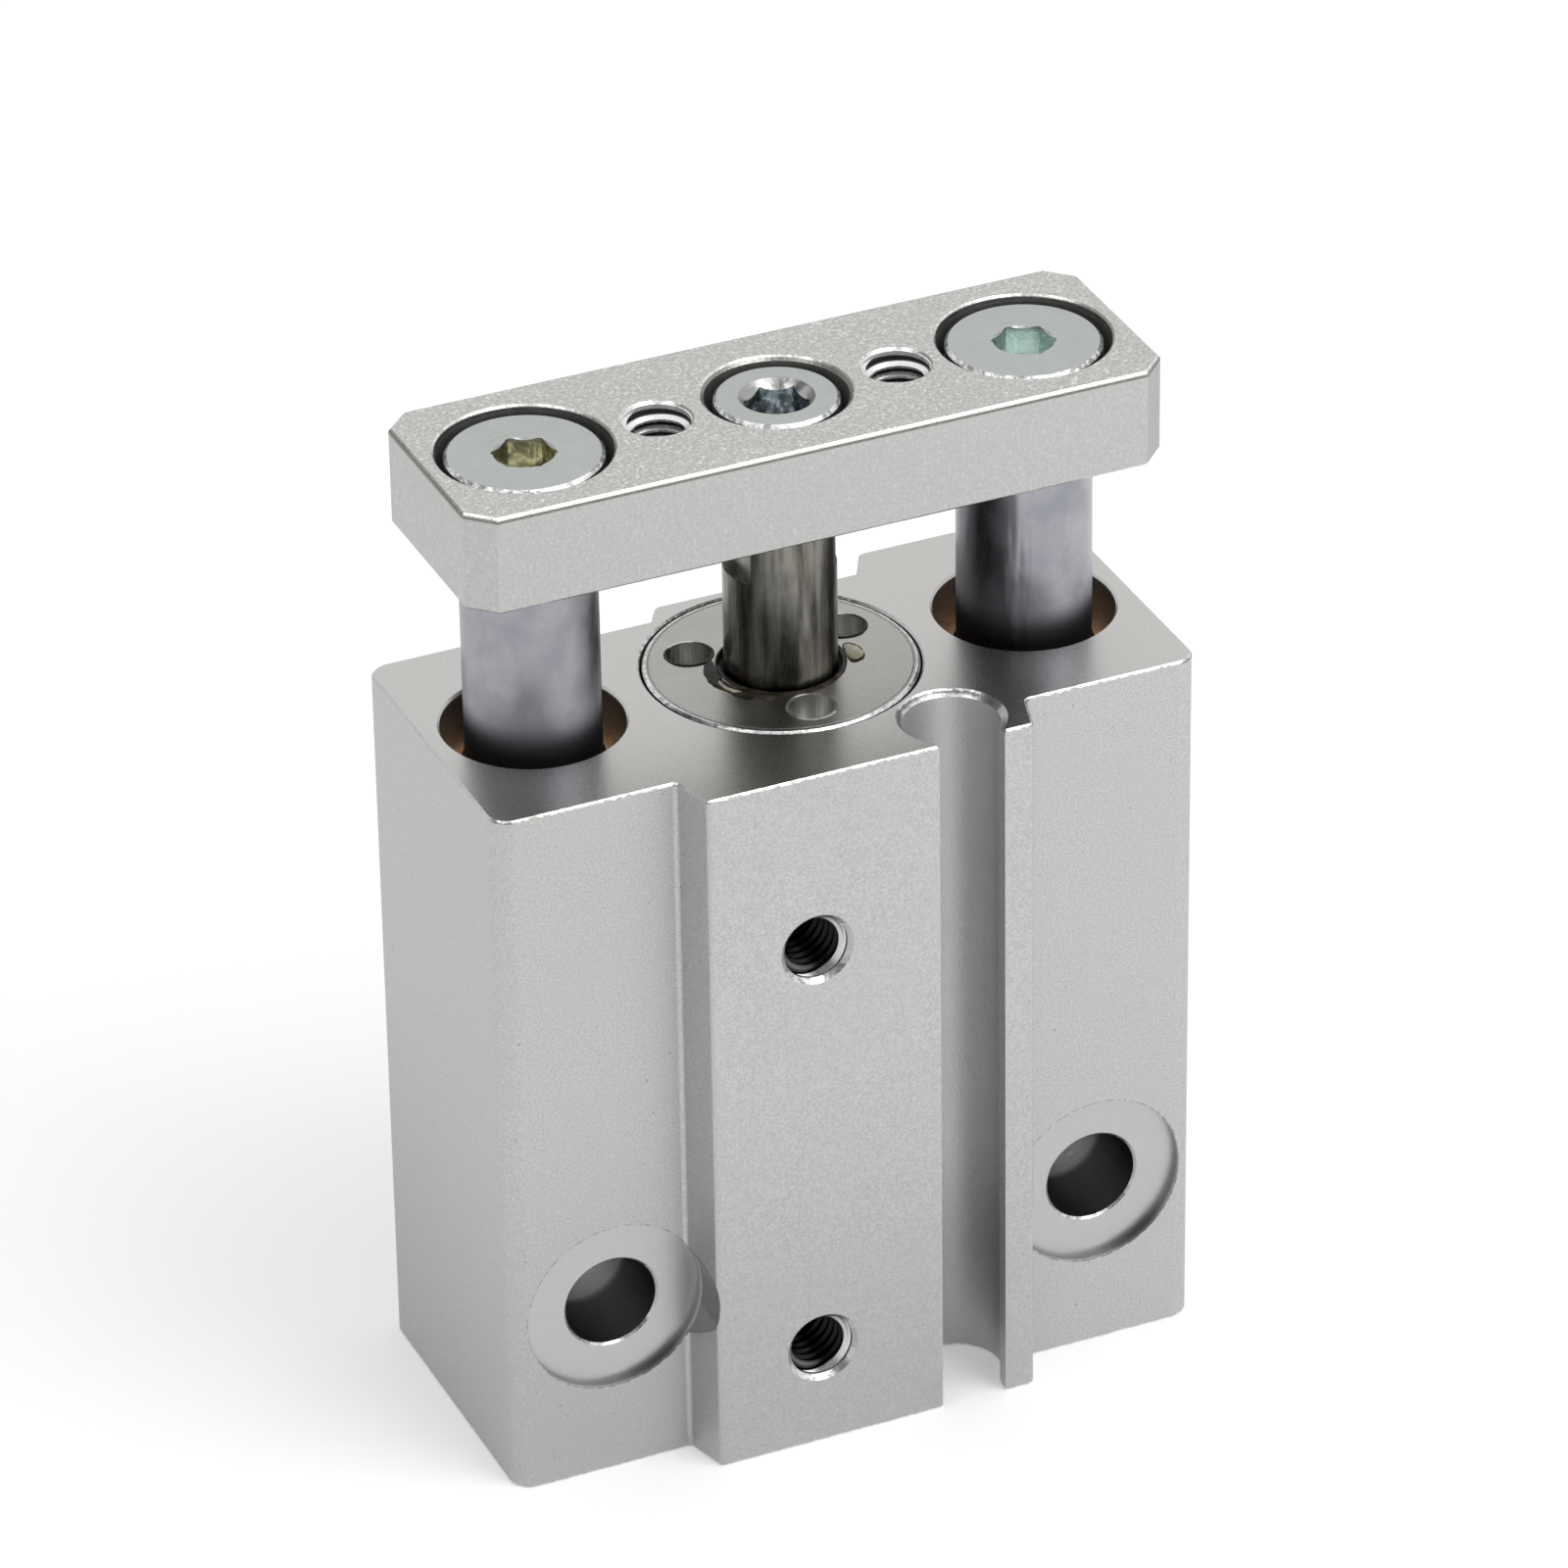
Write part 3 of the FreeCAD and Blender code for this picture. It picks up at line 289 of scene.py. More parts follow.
# %% Finish helper
class Finish:
    """A material in the making. Each call adds nodes and returns the socket to use next."""

    def __init__(self, name, **constants):
        self.material = bpy.data.materials.new(name)
        self.material.use_nodes = True
        self.tree = self.material.node_tree
        self.shader = self.tree.nodes["Principled BSDF"]
        for socket, value in constants.items():
            self.shader.inputs[socket.replace("_", " ")].default_value = value
        place = self.add("ShaderNodeTexCoord").outputs["Object"]
        scale = self.add("ShaderNodeVectorMath", {0: place, "Scale": 1 / MM}, operation="SCALE")
        self.place = scale.outputs[0]
        split = self.add("ShaderNodeSeparateXYZ", {0: self.place})
        self.x, self.y, self.z = split.outputs
        self.across = self.maths("ABSOLUTE", self.x)
        self.normal = self.add("ShaderNodeNewGeometry").outputs["Normal"]
        facing = self.add("ShaderNodeSeparateXYZ", {0: self.normal})
        self.facing_x, self.facing_y, self.facing_z = facing.outputs
        self.slope = self.maths("ABSOLUTE", self.facing_z)

    def add(self, kind, inputs=None, **choices):
        return add_node(self.tree, kind, inputs, **choices)

    def maths(self, operation, a, b=0.0):
        return maths_for(self.tree)(operation, a, b)

    def noise(self, size, detail=2.0, stretch=(1, 1, 1), seed=0.0):
        """Noise from 0 to 1 whose blots are about size mm across, drawn out by stretch."""
        scale = [1 / (size * s) for s in stretch]
        place = self.add("ShaderNodeMapping", {"Vector": self.place, "Scale": scale,
                                               "Location": (seed, seed, seed)}).outputs[0]
        return self.add("ShaderNodeTexNoise", {"Vector": place, "Scale": 1.0,
                                               "Detail": detail}).outputs[0]

    def step(self, value, start, end):
        """Goes smoothly from 0 at start to 1 at end; start may be the larger one."""
        return self.add("ShaderNodeMapRange",
                        {"Value": value, "From Min": start, "From Max": end},
                        interpolation_type="SMOOTHSTEP").outputs["Result"]

    def blend(self, share, a, b):
        """A colour between a and b."""
        mix = self.add("ShaderNodeMix", {0: share, 6: a, 7: b}, data_type="RGBA")
        return mix.outputs[2]

    def between(self, share, a, b):
        """A number between a and b."""
        return self.add("ShaderNodeMix", {0: share, 2: a, 3: b}, data_type="FLOAT").outputs[0]

    def both(self, a, b):
        """1 where both masks are 1; a plain number weakens a mask."""
        return self.maths("MULTIPLY", a, b)

    def either(self, a, b):
        """1 where at least one of two masks is 1."""
        return self.maths("MAXIMUM", a, b)

    def away(self, x=None, y=None, z=None, across=None):
        """Distance in mm from a line along the axis that isn't given; across is x on both sides."""
        total = None
        for socket, at in ((self.x, x), (self.y, y), (self.z, z), (self.across, across)):
            if at is not None:
                apart = self.maths("SUBTRACT", socket, at)
                square = self.maths("MULTIPLY", apart, apart)
                total = square if total is None else self.maths("ADD", total, square)
        return self.maths("SQRT", total)

    def hole(self, radius, **centre):
        """1 on the wall and the floor of a hole, 0 outside it."""
        return self.step(self.away(**centre), radius + 0.05, radius + 0.01)

    def stripe(self, socket, middle, width):
        """1 in a narrow band of a coordinate."""
        apart = self.maths("ABSOLUTE", self.maths("SUBTRACT", socket, middle))
        return self.step(apart, width / 2 + 0.015, width / 2 - 0.015)

    def ring(self, radius, width, **centre):
        """1 in a narrow ring round an axis."""
        return self.stripe(self.away(**centre), radius, width)

    def level(self):
        """1 on a face that points up or down."""
        return self.step(self.slope, 0.9, 0.97)

    def bevel(self):
        """1 on a face that slopes, neither upright nor level."""
        return self.both(self.step(self.slope, 0.2, 0.3), self.step(self.slope, 0.95, 0.85))

    def edges(self, radius):
        """Near 1 within about radius mm of an edge."""
        rounded = self.add("ShaderNodeBevel", {"Radius": radius * MM}, samples=4).outputs[0]
        same = self.add("ShaderNodeVectorMath", {0: rounded, 1: self.normal},
                        operation="DOT_PRODUCT").outputs["Value"]
        return self.step(same, 0.985, 0.85)

    def bump(self, height, depth):
        """Raises the surface by height times depth mm."""
        return self.add("ShaderNodeBump", {"Height": height, "Distance": depth * MM,
                                           "Strength": 1.0}).outputs[0]

    def finish(self, colour, roughness, normal):
        """Links the three surface inputs and returns the material."""
        self.tree.links.new(colour, self.shader.inputs["Base Color"])
        self.tree.links.new(roughness, self.shader.inputs["Roughness"])
        self.tree.links.new(normal, self.shader.inputs["Normal"])
        return self.material


def grey(level, warm=0.0):
    """A grey; a positive warm takes away blue."""
    return (level * (1 + warm * 0.3), level, level * (1 - warm), 1)


def wear(node, material):
    """Gives a loaded piece its finish."""
    for place in nodes[node].material_slots:
        place.material = material


# %% [markdown]
# ## Block: blasted and anodised aluminium
#
# The block is a length of extruded profile, blasted with fine beads and anodised clear. Beads
# leave dents of about a tenth of a millimetre, which scatter the light; their glitter is
# painted in as light specks.
# Its ends are machined before anodising, so they are smoother, and the narrow bevel round
# them was filed by hand: it is bright and a little ragged. Each surface could be cut out and
# given a material of its own. But a normal that points up or down, and the distance from the
# axis of a hole, tell them apart as well, so one material is enough and nothing is cut.
#
# First come the places of the holes, from the part's own list of mounts.

# %% Places of the holes in the block
FRONT = span("body", Y)[0]
PORT_X = mounts["upper_port"]["pos_m"][X] / MM
PORT_HEIGHTS = [mounts[name]["pos_m"][Z] / MM for name in ("lower_port", "upper_port")]
PORT_RADIUS = mounts["upper_port"]["dims"]["r_mm"]
BOLT_X = mounts["mounting_holes"]["dims"]["spacing_x_mm"] / 2
BOLT_Z = mounts["mounting_holes"]["pos_m"][Z] / MM
BOLT_FACE = mounts["mounting_holes"]["pos_m"][Y] / MM
BOLT_RADIUS = mounts["mounting_holes"]["dims"]["hole_r_mm"]
GROOVE_PLACE = [place / MM for place in mounts["sensor_groove"]["pos_m"]]
GROOVE_RADIUS = mounts["sensor_groove"]["dims"]["r_mm"]
SPOT_RADIUS = 4.15
SPOT_DEPTH = 0.45
# The y of the block's own face round a spot face.
LOBE = BOLT_FACE - SPOT_DEPTH
BEVEL = 0.12
print(f"ports at x {PORT_X:.2f}, mounting holes at x {BOLT_X:.2f}, z {BOLT_Z:.2f}")

# %% [markdown]
# ### Spot faces and holes
#
# A spot face is the round flat that seats a bolt's head. On the real block it was cut after
# blasting, so its floor is smooth, and part of a dark outline has stayed where the cutter
# left the skin. Its wall is painted dark as shade, paler at the mouth, and the notch in the
# flank beside it is painted dark as shade too. The mounting holes, the ports and the bores
# are dark with oil and painted shade. Each of these is a mask, laid over the colour that
# comes in.

# %% Spot faces and holes
MOUTH = 0.27
OIL_THINS, OIL_ENDS = 3.3, 4.7


def spot_faces(f, colour, roughness, blotch):
    """A smooth floor, a wall and a flank notch painted dark as shade, a paler mouth, an outline."""
    centre = {"across": BOLT_X, "z": BOLT_Z}
    near = f.both(f.hole(SPOT_RADIUS, **centre), f.step(f.y, FRONT + 0.1, FRONT + 0.2))
    floor = f.both(f.both(near, f.stripe(f.y, BOLT_FACE, 0.1)), f.step(f.facing_y, -0.9, -0.97))
    upright = f.both(near, f.step(f.facing_y, -0.5, -0.3))
    wall = f.both(upright, f.both(f.step(f.y, LOBE - 0.05, LOBE), f.step(f.y, 0.0, -1.0)))
    mouth = f.step(f.maths("ADD", f.y, f.both(blotch, 0.1)), LOBE + MOUTH, LOBE + MOUTH - 0.1)
    nick = f.both(upright, f.step(f.y, LOBE, LOBE - 0.08))
    outline = f.both(f.ring(SPOT_RADIUS + 0.02, 0.05, **centre), f.stripe(f.y, LOBE, 0.1))
    outline = f.both(outline, f.step(blotch, 0.4, 0.6))
    colour = f.blend(floor, colour, f.blend(blotch, grey(0.475, 0.01), grey(0.51, 0.01)))
    # Painted shade: the wall is coloured dark, paler at its mouth, and the notch in the flank too.
    colour = f.blend(wall, colour, grey(0.26))
    colour = f.blend(f.both(f.both(wall, mouth), 0.9), colour, grey(0.52))
    colour = f.blend(f.both(nick, 0.9), colour, grey(0.25))
    colour = f.blend(f.both(outline, 0.7), colour, grey(0.15))
    roughness = f.between(floor, roughness, 0.36)
    roughness = f.between(wall, roughness, 0.25)
    return colour, roughness, f.either(floor, wall)


def oil_and_shade_holes(f, drilled):
    """1 where a bore, a port or a mounting hole is dark with oil and painted shade."""
    oil = f.step(f.y, BOLT_FACE + OIL_ENDS, BOLT_FACE + OIL_THINS)
    holes = f.both(drilled, f.between(oil, 0.0, 0.93))
    for height in PORT_HEIGHTS:
        port = f.hole(PORT_RADIUS, x=PORT_X, z=height)
        port = f.both(port, f.both(f.step(f.y, FRONT + 0.15, FRONT + 0.4), f.step(f.y, 0.5, 0.0)))
        holes = f.either(holes, port)
    bore = f.hole(guide_bore, across=guide_place, y=0)
    bore = f.both(bore, f.both(f.step(f.z, body_top - 0.1, body_top - 0.3), f.step(f.z, 0.5, 1.0)))
    # Painted shade: bore walls that face the back are darker than those that face the front.
    bore = f.both(bore, f.between(f.step(f.facing_y, 0.5, -0.4), 0.75, 0.45))
    return f.either(holes, bore)


# %% [markdown]
# ### Skin and bevel
#
# The blasted skin is a stack of thin layers, from the finest grain to broad clouds: dents,
# blotches, glitter painted in as light specks, a few pits, and a foot painted darker towards
# the table as shade, less on the right, where more light falls. Painting it on would take a
# very large picture; noise costs nothing and stays sharp close up. The bevel is made of
# bright and dull chips. On the bevels that face left they give way to an even grey, painted
# for the light that falls there, and elsewhere a dark ragged line runs along the foot of the
# bevel.

# %% Skin and bevel
# Painted shade: below this height the upright faces are coloured darker towards the table, less towards
# the right.
FOOT_SHADE = 22.0
FOOT_LEFT, FOOT_RIGHT = 4.0, 12.0
GROOVE_SHADE, GROOVE_DARKEST = 12.0, 5.0


def blasted_skin(f, machined, grain, blotch, cloud):
    """The colour of the block's faces and of the groove for a sensor, painted lighter inside as light
    and darker towards its foot as shade.
    """
    upright = f.step(f.slope, 0.3, 0.2)
    colour = f.blend(f.step(grain, 0.3, 0.7), grey(0.455, 0.01), grey(0.595, 0.01))
    colour = f.blend(f.both(f.step(blotch, 0.4, 0.8), 0.2), colour, grey(0.455, 0.01))
    colour = f.blend(f.both(f.step(cloud, 0.35, 0.75), 0.35), colour, grey(0.52, 0.02))
    # Painted glints: light specks in the colour stand for the glitter of the dents.
    painted_glint = f.step(f.noise(0.09, 1.0, seed=7.0), 0.66, 0.8)
    colour = f.blend(f.both(painted_glint, 0.3), colour, grey(0.85))
    # Painted shade: the foot grows darker towards the table, less on the right.
    foot = f.both(f.step(f.z, FOOT_SHADE, 0.0), upright)
    foot = f.both(foot, f.between(f.step(f.x, FOOT_LEFT, FOOT_RIGHT), 0.35, 0.1))
    colour = f.blend(foot, colour, grey(0.3))
    colour = f.blend(f.both(machined, 0.6), colour, grey(0.535, 0.035))
    pit = f.step(f.noise(0.28, 1.0, seed=11.0), 0.76, 0.82)
    colour = f.blend(f.both(f.both(pit, upright), 0.6), colour, grey(0.2, 0.1))
    # Painted light and shade: the groove is coloured lighter inside, then darker towards its foot.
    groove = f.hole(GROOVE_RADIUS, x=GROOVE_PLACE[X], y=GROOVE_PLACE[Y])
    colour = f.blend(f.both(groove, 0.7), colour, grey(0.62))
    shade = f.both(f.step(f.z, GROOVE_SHADE, GROOVE_DARKEST), 0.27)
    colour = f.blend(f.both(groove, shade), colour, grey(0.05))
    # Lighter along edges: partly wear, partly a painted highlight.
    return f.blend(f.both(f.edges(0.1), 0.3), colour, grey(0.66))


def filed_bevel(f, ragged, left_facing):
    """The colour of the bevel: bright and dull chips with a dark ragged line along its foot, and an
    even grey on bevels that face left, painted for the light there.
    """
    chips = f.blend(f.step(ragged, 0.36, 0.56), grey(0.36, 0.03), grey(0.7))
    # Painted light: bevels that face left are even grey instead of bright and dull chips.
    chips = f.blend(f.both(left_facing, 0.85), chips, grey(0.46))
    line = f.maths("ADD", f.z, f.both(f.maths("SUBTRACT", ragged, 0.5), BEVEL))
    line = f.step(line, body_top - BEVEL * 0.5, body_top - BEVEL * 0.75)
    line = f.both(line, f.step(left_facing, 1.0, 0.0))
    line = f.both(line, f.step(f.z, body_top - BEVEL * 2, body_top - BEVEL))
    return f.blend(f.both(line, 0.85), chips, grey(0.12, 0.05))


# %% Block finish
def blasted_block():
    """Skin, bevel, spot faces and holes, one over the other."""
    f = Finish("blasted_block", Metallic=1.0)
    machined = f.step(f.slope, 0.2, 0.3)
    bevel = f.bevel()
    # The rims of the guide bores were never filed, so they keep the plain machined look.
    bore_rim = f.both(bevel, f.hole(guide_bore + 0.15, across=guide_place, y=0))
    bore_rim = f.both(bore_rim, f.step(f.z, body_top / 2, body_top / 2 + 1))
    bevel = f.maths("SUBTRACT", bevel, bore_rim)
    grain = f.noise(0.1, 3.0)
    blotch = f.noise(0.3, 2.0, seed=13.0)
    cloud = f.noise(4.0, 3.0, seed=3.0)
    ragged = f.noise(0.25, 3.0, seed=17.0)
    # The bevels and faces that face left, coloured apart for the light there.
    left_facing = f.step(f.facing_x, -0.55, -0.65)
    colour = blasted_skin(f, machined, grain, blotch, cloud)
    colour = f.blend(f.both(bevel, 0.95), colour, filed_bevel(f, ragged, left_facing))
    roughness = f.between(machined, f.between(grain, 0.42, 0.58), f.between(grain, 0.22, 0.36))
    roughness = f.between(bevel, roughness, f.between(ragged, 0.42, 0.2))
    colour, roughness, smooth = spot_faces(f, colour, roughness, blotch)
    drilled = f.hole(BOLT_RADIUS, across=BOLT_X, z=BOLT_Z)
    drilled = f.both(drilled, f.step(f.maths("ABSOLUTE", f.facing_y), 0.5, 0.3))
    colour = f.blend(drilled, colour, grey(0.95))
    # Oil and painted shade darken the holes.
    colour = f.blend(oil_and_shade_holes(f, drilled), colour, f.blend(cloud, grey(0.02), grey(0.07, 0.1)))
    roughness = f.between(drilled, roughness, 0.4)
    smooth = f.either(f.either(machined, smooth), drilled)
    height = f.both(grain, f.between(smooth, 1.0, 0.12))
    height = f.maths("ADD", height, f.both(f.both(ragged, bevel), f.between(left_facing, 1.3, 0.3)))
    return f.finish(colour, roughness, f.bump(height, 0.02))


wear("body", blasted_block())
print("block finish on")

# %% [markdown]
# ## Plate: milled, then blasted
#
# The tool plate is blasted more coarsely than the block, so its top glitters; the glints are
# painted in as light specks. Its sides still show the upright lines of the cutter under the
# blasting. Two noises do this: a fine one, and one that is drawn out along Z. The lower part
# of the bevel is a dark line on the real plate. The sides that face right and the bevel at
# the left are painted darker as shade, and the tapped holes are painted dark inside a bright
# lip, as shade. As on the block, masks in one material do it all.

# %% Plate finish
TAP_X = mounts["plate_threads"]["dims"]["spacing_x_mm"] / 2
TAP_RADIUS = mounts["plate_threads"]["dims"]["hole_r_mm"]
LINE_TOP, LINE_FOOT = plate_top - 0.06, plate_top - 0.28
LIP_END, TAP_DARK = plate_top - 0.3, plate_top - 0.36


def plate_skin(f, level, upright, grain, lines):
    """The colour of coarse grain on top, with painted glints, and of upright cutter lines on the sides,
    painted darker as shade where they face right.
    """
    side = f.blend(lines, grey(0.455, 0.01), grey(0.50, 0.01))
    top = f.blend(f.step(grain, 0.3, 0.7), grey(0.43, 0.03), grey(0.60, 0.03))
    # Painted glints on the top.
    painted_glint = f.step(f.noise(0.16, 1.0, seed=9.0), 0.58, 0.74)
    top = f.blend(f.both(painted_glint, 0.55), top, grey(0.95))
    colour = f.blend(level, f.blend(0.7, top, side), top)
    pit = f.both(f.step(f.noise(0.3, 1.0, seed=21.0), 0.7, 0.78), f.edges(0.6))
    colour = f.blend(f.both(pit, 0.8), colour, grey(0.16, 0.1))
    # Lighter along edges: partly wear, partly a painted highlight.
    colour = f.blend(f.both(f.edges(0.12), 0.3), colour, grey(0.7))
    # Painted shade on the upright sides that face right.
    right = f.both(upright, f.step(f.facing_x, 0.4, 0.6))
    return f.blend(f.both(right, 0.8), colour, grey(0.40, 0.01))


def plate_bevel(f, colour, bevel, upright, ragged):
    """Chips on the bevel, the dark line along its foot, and a bevel at the left painted darker as
    shade.
    """
    chips = f.blend(f.step(ragged, 0.35, 0.6), grey(0.5, 0.04), grey(0.82))
    colour = f.blend(f.both(bevel, 0.95), colour, chips)
    line = f.both(f.step(f.z, LINE_TOP, LINE_TOP - 0.03), f.step(f.z, LINE_FOOT, LINE_FOOT + 0.05))
    line = f.both(line, f.either(bevel, upright))
    colour = f.blend(f.both(line, f.between(ragged, 0.5, 1.0)), colour, grey(0.13, 0.1))
    # Painted shade: the bevel that faces left is coloured darker.
    left = f.both(bevel, f.step(f.facing_x, -0.6, -0.68))
    return f.blend(f.both(left, 0.75), colour, grey(0.12, 0.1))


def blasted_plate():
    """Skin, bevel and tapped holes, one over the other."""
    f = Finish("blasted_plate", Metallic=1.0)
    level = f.level()
    bevel = f.bevel()
    upright = f.step(f.slope, 0.2, 0.1)
    grain = f.noise(0.17, 2.0)
    lines = f.noise(0.25, 2.0, stretch=(1, 1, 14), seed=5.0)
    ragged = f.noise(0.2, 3.0, seed=17.0)
    colour = plate_skin(f, level, upright, grain, lines)
    colour = plate_bevel(f, colour, bevel, upright, ragged)
    taps = f.hole(TAP_RADIUS, across=TAP_X, y=0)
    lip = f.both(taps, f.step(f.z, TAP_DARK, LIP_END))
    colour = f.blend(lip, colour, grey(0.95))
    # Painted shade: the tapped holes are coloured dark below the lip.
    inside = f.both(taps, f.step(f.z, LIP_END, TAP_DARK))
    colour = f.blend(f.both(inside, 0.9), colour, grey(0.03))
    roughness = f.between(level, f.between(lines, 0.36, 0.5), f.between(grain, 0.36, 0.52))
    roughness = f.between(bevel, roughness, f.between(ragged, 0.4, 0.16))
    height = f.between(level, f.maths("ADD", lines, f.both(grain, 0.4)), f.both(grain, 1.3))
    height = f.maths("ADD", height, f.both(f.both(ragged, bevel), 1.0))
    return f.finish(colour, roughness, f.bump(height, 0.02))


wear("plate", blasted_plate())
print("plate finish on")

# %% [markdown]
# ## Covers: fine turned
#
# Both round covers were turned, so their faces carry very fine rings round the axis. Cutting
# the rings into the shape would take far too many faces, while a bump driven by a sine of
# the distance from the axis costs nothing. The rim is bright and a little ragged, with a dark
# line scribed beside it, and the mouths of the three spanner holes are bright as well. A
# little grime dulls the face in patches, and the recess of the rod's wiper is painted dark
# as shade.

# %% Cover finish
RING_RATE = 42.0
SPANNER_RADIUS = 1.0
SPANNER_REACH = 4.1
SPANNER_TURN = 25
COVER_RADIUS = span("rod_cover", X)[1]
RIM_WIDTH = 0.2
SCRIBED_IN, SCRIBED_WIDTH = 0.27, 0.07
WIPER_RADIUS = 2.86
spanner_angles = [math.radians(SPANNER_TURN + 120 * number) for number in range(3)]
spanner_places = [(SPANNER_REACH * math.cos(angle), SPANNER_REACH * math.sin(angle))
                  for angle in spanner_angles]


def turned_cover():
    """Fine rings, a bright rim with a scribed line, spanner holes and the wiper's recess in painted
    shade.
    """
    f = Finish("turned_cover", Metallic=1.0)
    out = f.away(x=0, y=0)
    rings = f.maths("SINE", f.maths("MULTIPLY", out, RING_RATE))
    blot = f.noise(1.2, 3.0)
    grain = f.noise(0.15, 2.0, seed=4.0)
    ragged = f.noise(0.25, 3.0, seed=17.0)
    colour = f.blend(blot, grey(0.34, 0.06), grey(0.44, 0.05))
    colour = f.blend(f.both(f.step(grain, 0.55, 0.75), 0.3), colour, grey(0.25, 0.05))
    level = f.level()
    inner_edge = COVER_RADIUS - RIM_WIDTH
    rim = f.either(f.bevel(), f.both(level, f.step(out, inner_edge, inner_edge + 0.05)))
    scribed = f.both(level, f.stripe(out, COVER_RADIUS - SCRIBED_IN, SCRIBED_WIDTH))
    for x, y in spanner_places:
        mouth = f.ring(SPANNER_RADIUS + 0.06, 0.1, x=x, y=y)
        rim = f.either(rim, f.both(level, f.both(mouth, 0.8)))
        colour = f.blend(f.hole(SPANNER_RADIUS, x=x, y=y), colour, grey(0.62, 0.02))
    bright = f.blend(f.step(ragged, 0.35, 0.6), grey(0.4), grey(0.8))
    colour = f.blend(f.both(rim, 0.85), colour, bright)
    colour = f.blend(f.both(scribed, f.both(f.step(ragged, 0.3, 0.5), 0.6)), colour, grey(0.12))
    # Painted shade: the wiper's recess round the rod is coloured nearly black.
    wiper = f.step(out, WIPER_RADIUS + 0.05, WIPER_RADIUS)
    colour = f.blend(wiper, colour, grey(0.02))
    roughness = f.between(rim, f.between(blot, 0.22, 0.38), 0.28)
    roughness = f.between(wiper, roughness, 0.6)
    height = f.maths("ADD", f.both(rings, 0.25), f.both(grain, 0.8))
    height = f.maths("ADD", height, f.both(f.both(ragged, rim), 3.0))
    height = f.maths("ADD", height, f.both(scribed, -3.0))
    return f.finish(colour, roughness, f.bump(height, 0.008))


cover = turned_cover()
wear("rod_cover", cover)
wear("head_cover", cover)
print("cover finish on")

# %% [markdown]
# ## Guide rods: ground and hard-chromed
#
# Hard chrome is a mirror with a blue-grey cast, but these rods have been handled: a thin oil
# film clouds them. The side that faces the middle rod is painted dark, a painted reflection
# of the dark middle, and its edge runs down in streaks. A dark band is painted round the
# foot, where a rod leaves its bush, as a painted reflection of the dark bore and cover, and
# it is weaker on the stretch that only comes up with the plate. A clean mirror under a second
# layer of oil could give the clouding, but one material whose colour and roughness follow a
# few masks looks the same and is simpler. The streaks are a noise drawn out along the rod and
# a mask on the direction that the surface faces.

# %% Guide rod finish
FOOT_BAND_TOP, FOOT_BAND_LOW = body_top + 1.3, body_top - 0.2
BORE_STRETCH_TOP, BORE_STRETCH_LOW = body_top - 2.0, body_top - 6.0
DULL_TOP, DULL_FOOT = body_top + 3.5, body_top + 1.0


def hard_chrome(name, inward, inner_dark_from, inner_dark_to, dullness):
    """Inward is 1 for the rod whose neighbour lies towards -X and -1 for the other rod.

    The painted dark on the inner side, a painted reflection of the dark middle, starts where
    the surface has turned in by the first of the two shares (of 1) and is full at the second.
    """
    f = Finish(name, Metallic=1.0)
    smudge = f.noise(1.5, 4.0, stretch=(1, 1, 1.4), seed=2.0)
    fine = f.noise(0.35, 3.0, seed=12.0)
    streak = f.noise(0.4, 2.0, stretch=(1, 1, 14), seed=6.0)
    colour = f.blend(f.step(smudge, 0.3, 0.7), (0.285, 0.29, 0.32, 1), (0.39, 0.395, 0.425, 1))
    colour = f.blend(f.both(f.step(fine, 0.4, 0.8), 0.25), colour, (0.27, 0.275, 0.29, 1))
    # Painted reflection: the side facing the middle rod is coloured dark, as the dark middle would show
    # in it.
    turned_in = f.maths("MULTIPLY", f.facing_x, inward)
    wander = f.both(f.maths("SUBTRACT", streak, 0.5), 0.9)
    inner = f.step(f.maths("ADD", turned_in, wander), -inner_dark_from, -inner_dark_to)
    colour = f.blend(f.both(inner, 0.75), colour, (0.06, 0.06, 0.07, 1))
    # Painted reflection: a dark band round the foot stands for the dark bore and cover, weaker on the
    # stretch inside the bore.
    low = f.maths("SUBTRACT", f.z, f.both(smudge, 0.5))
    foot_band = f.step(low, FOOT_BAND_TOP, FOOT_BAND_LOW)
    bore_stretch = f.step(low, BORE_STRETCH_TOP, BORE_STRETCH_LOW)
    foot_band = f.both(foot_band, f.between(bore_stretch, 1.0, 0.3))
    colour = f.blend(f.both(foot_band, 0.85), colour, (0.035, 0.035, 0.04, 1))
    roughness = f.between(f.step(smudge, 0.35, 0.7), dullness, dullness + 0.12)
    dull = f.both(f.step(f.z, DULL_TOP, DULL_FOOT), f.between(bore_stretch, 1.0, 0.2))
    roughness = f.between(dull, roughness, 0.5)
    return f.finish(colour, roughness, f.bump(fine, 0.003))


# The two rods differ in how wide their painted reflection of the middle is, and in roughness.
wear("left_guide_rod", hard_chrome("hard_chrome_left", -1, 0.78, 1.0, 0.34))
wear("right_guide_rod", hard_chrome("hard_chrome_right", 1, 0.32, 0.7, 0.22))
print("guide rod finish on")

# %% [markdown]
# ## Piston rod: ground stainless steel
#
# The middle rod is darker and browner than the chromed ones. It is ground, and oil has dried
# on it in upright stripes, some nearly black and some light. Stripes drawn by hand would look
# too even. A noise that is drawn out along the rod to eleven times its width gives them their
# chance look, and a finer one gives the marks of the grinding wheel.

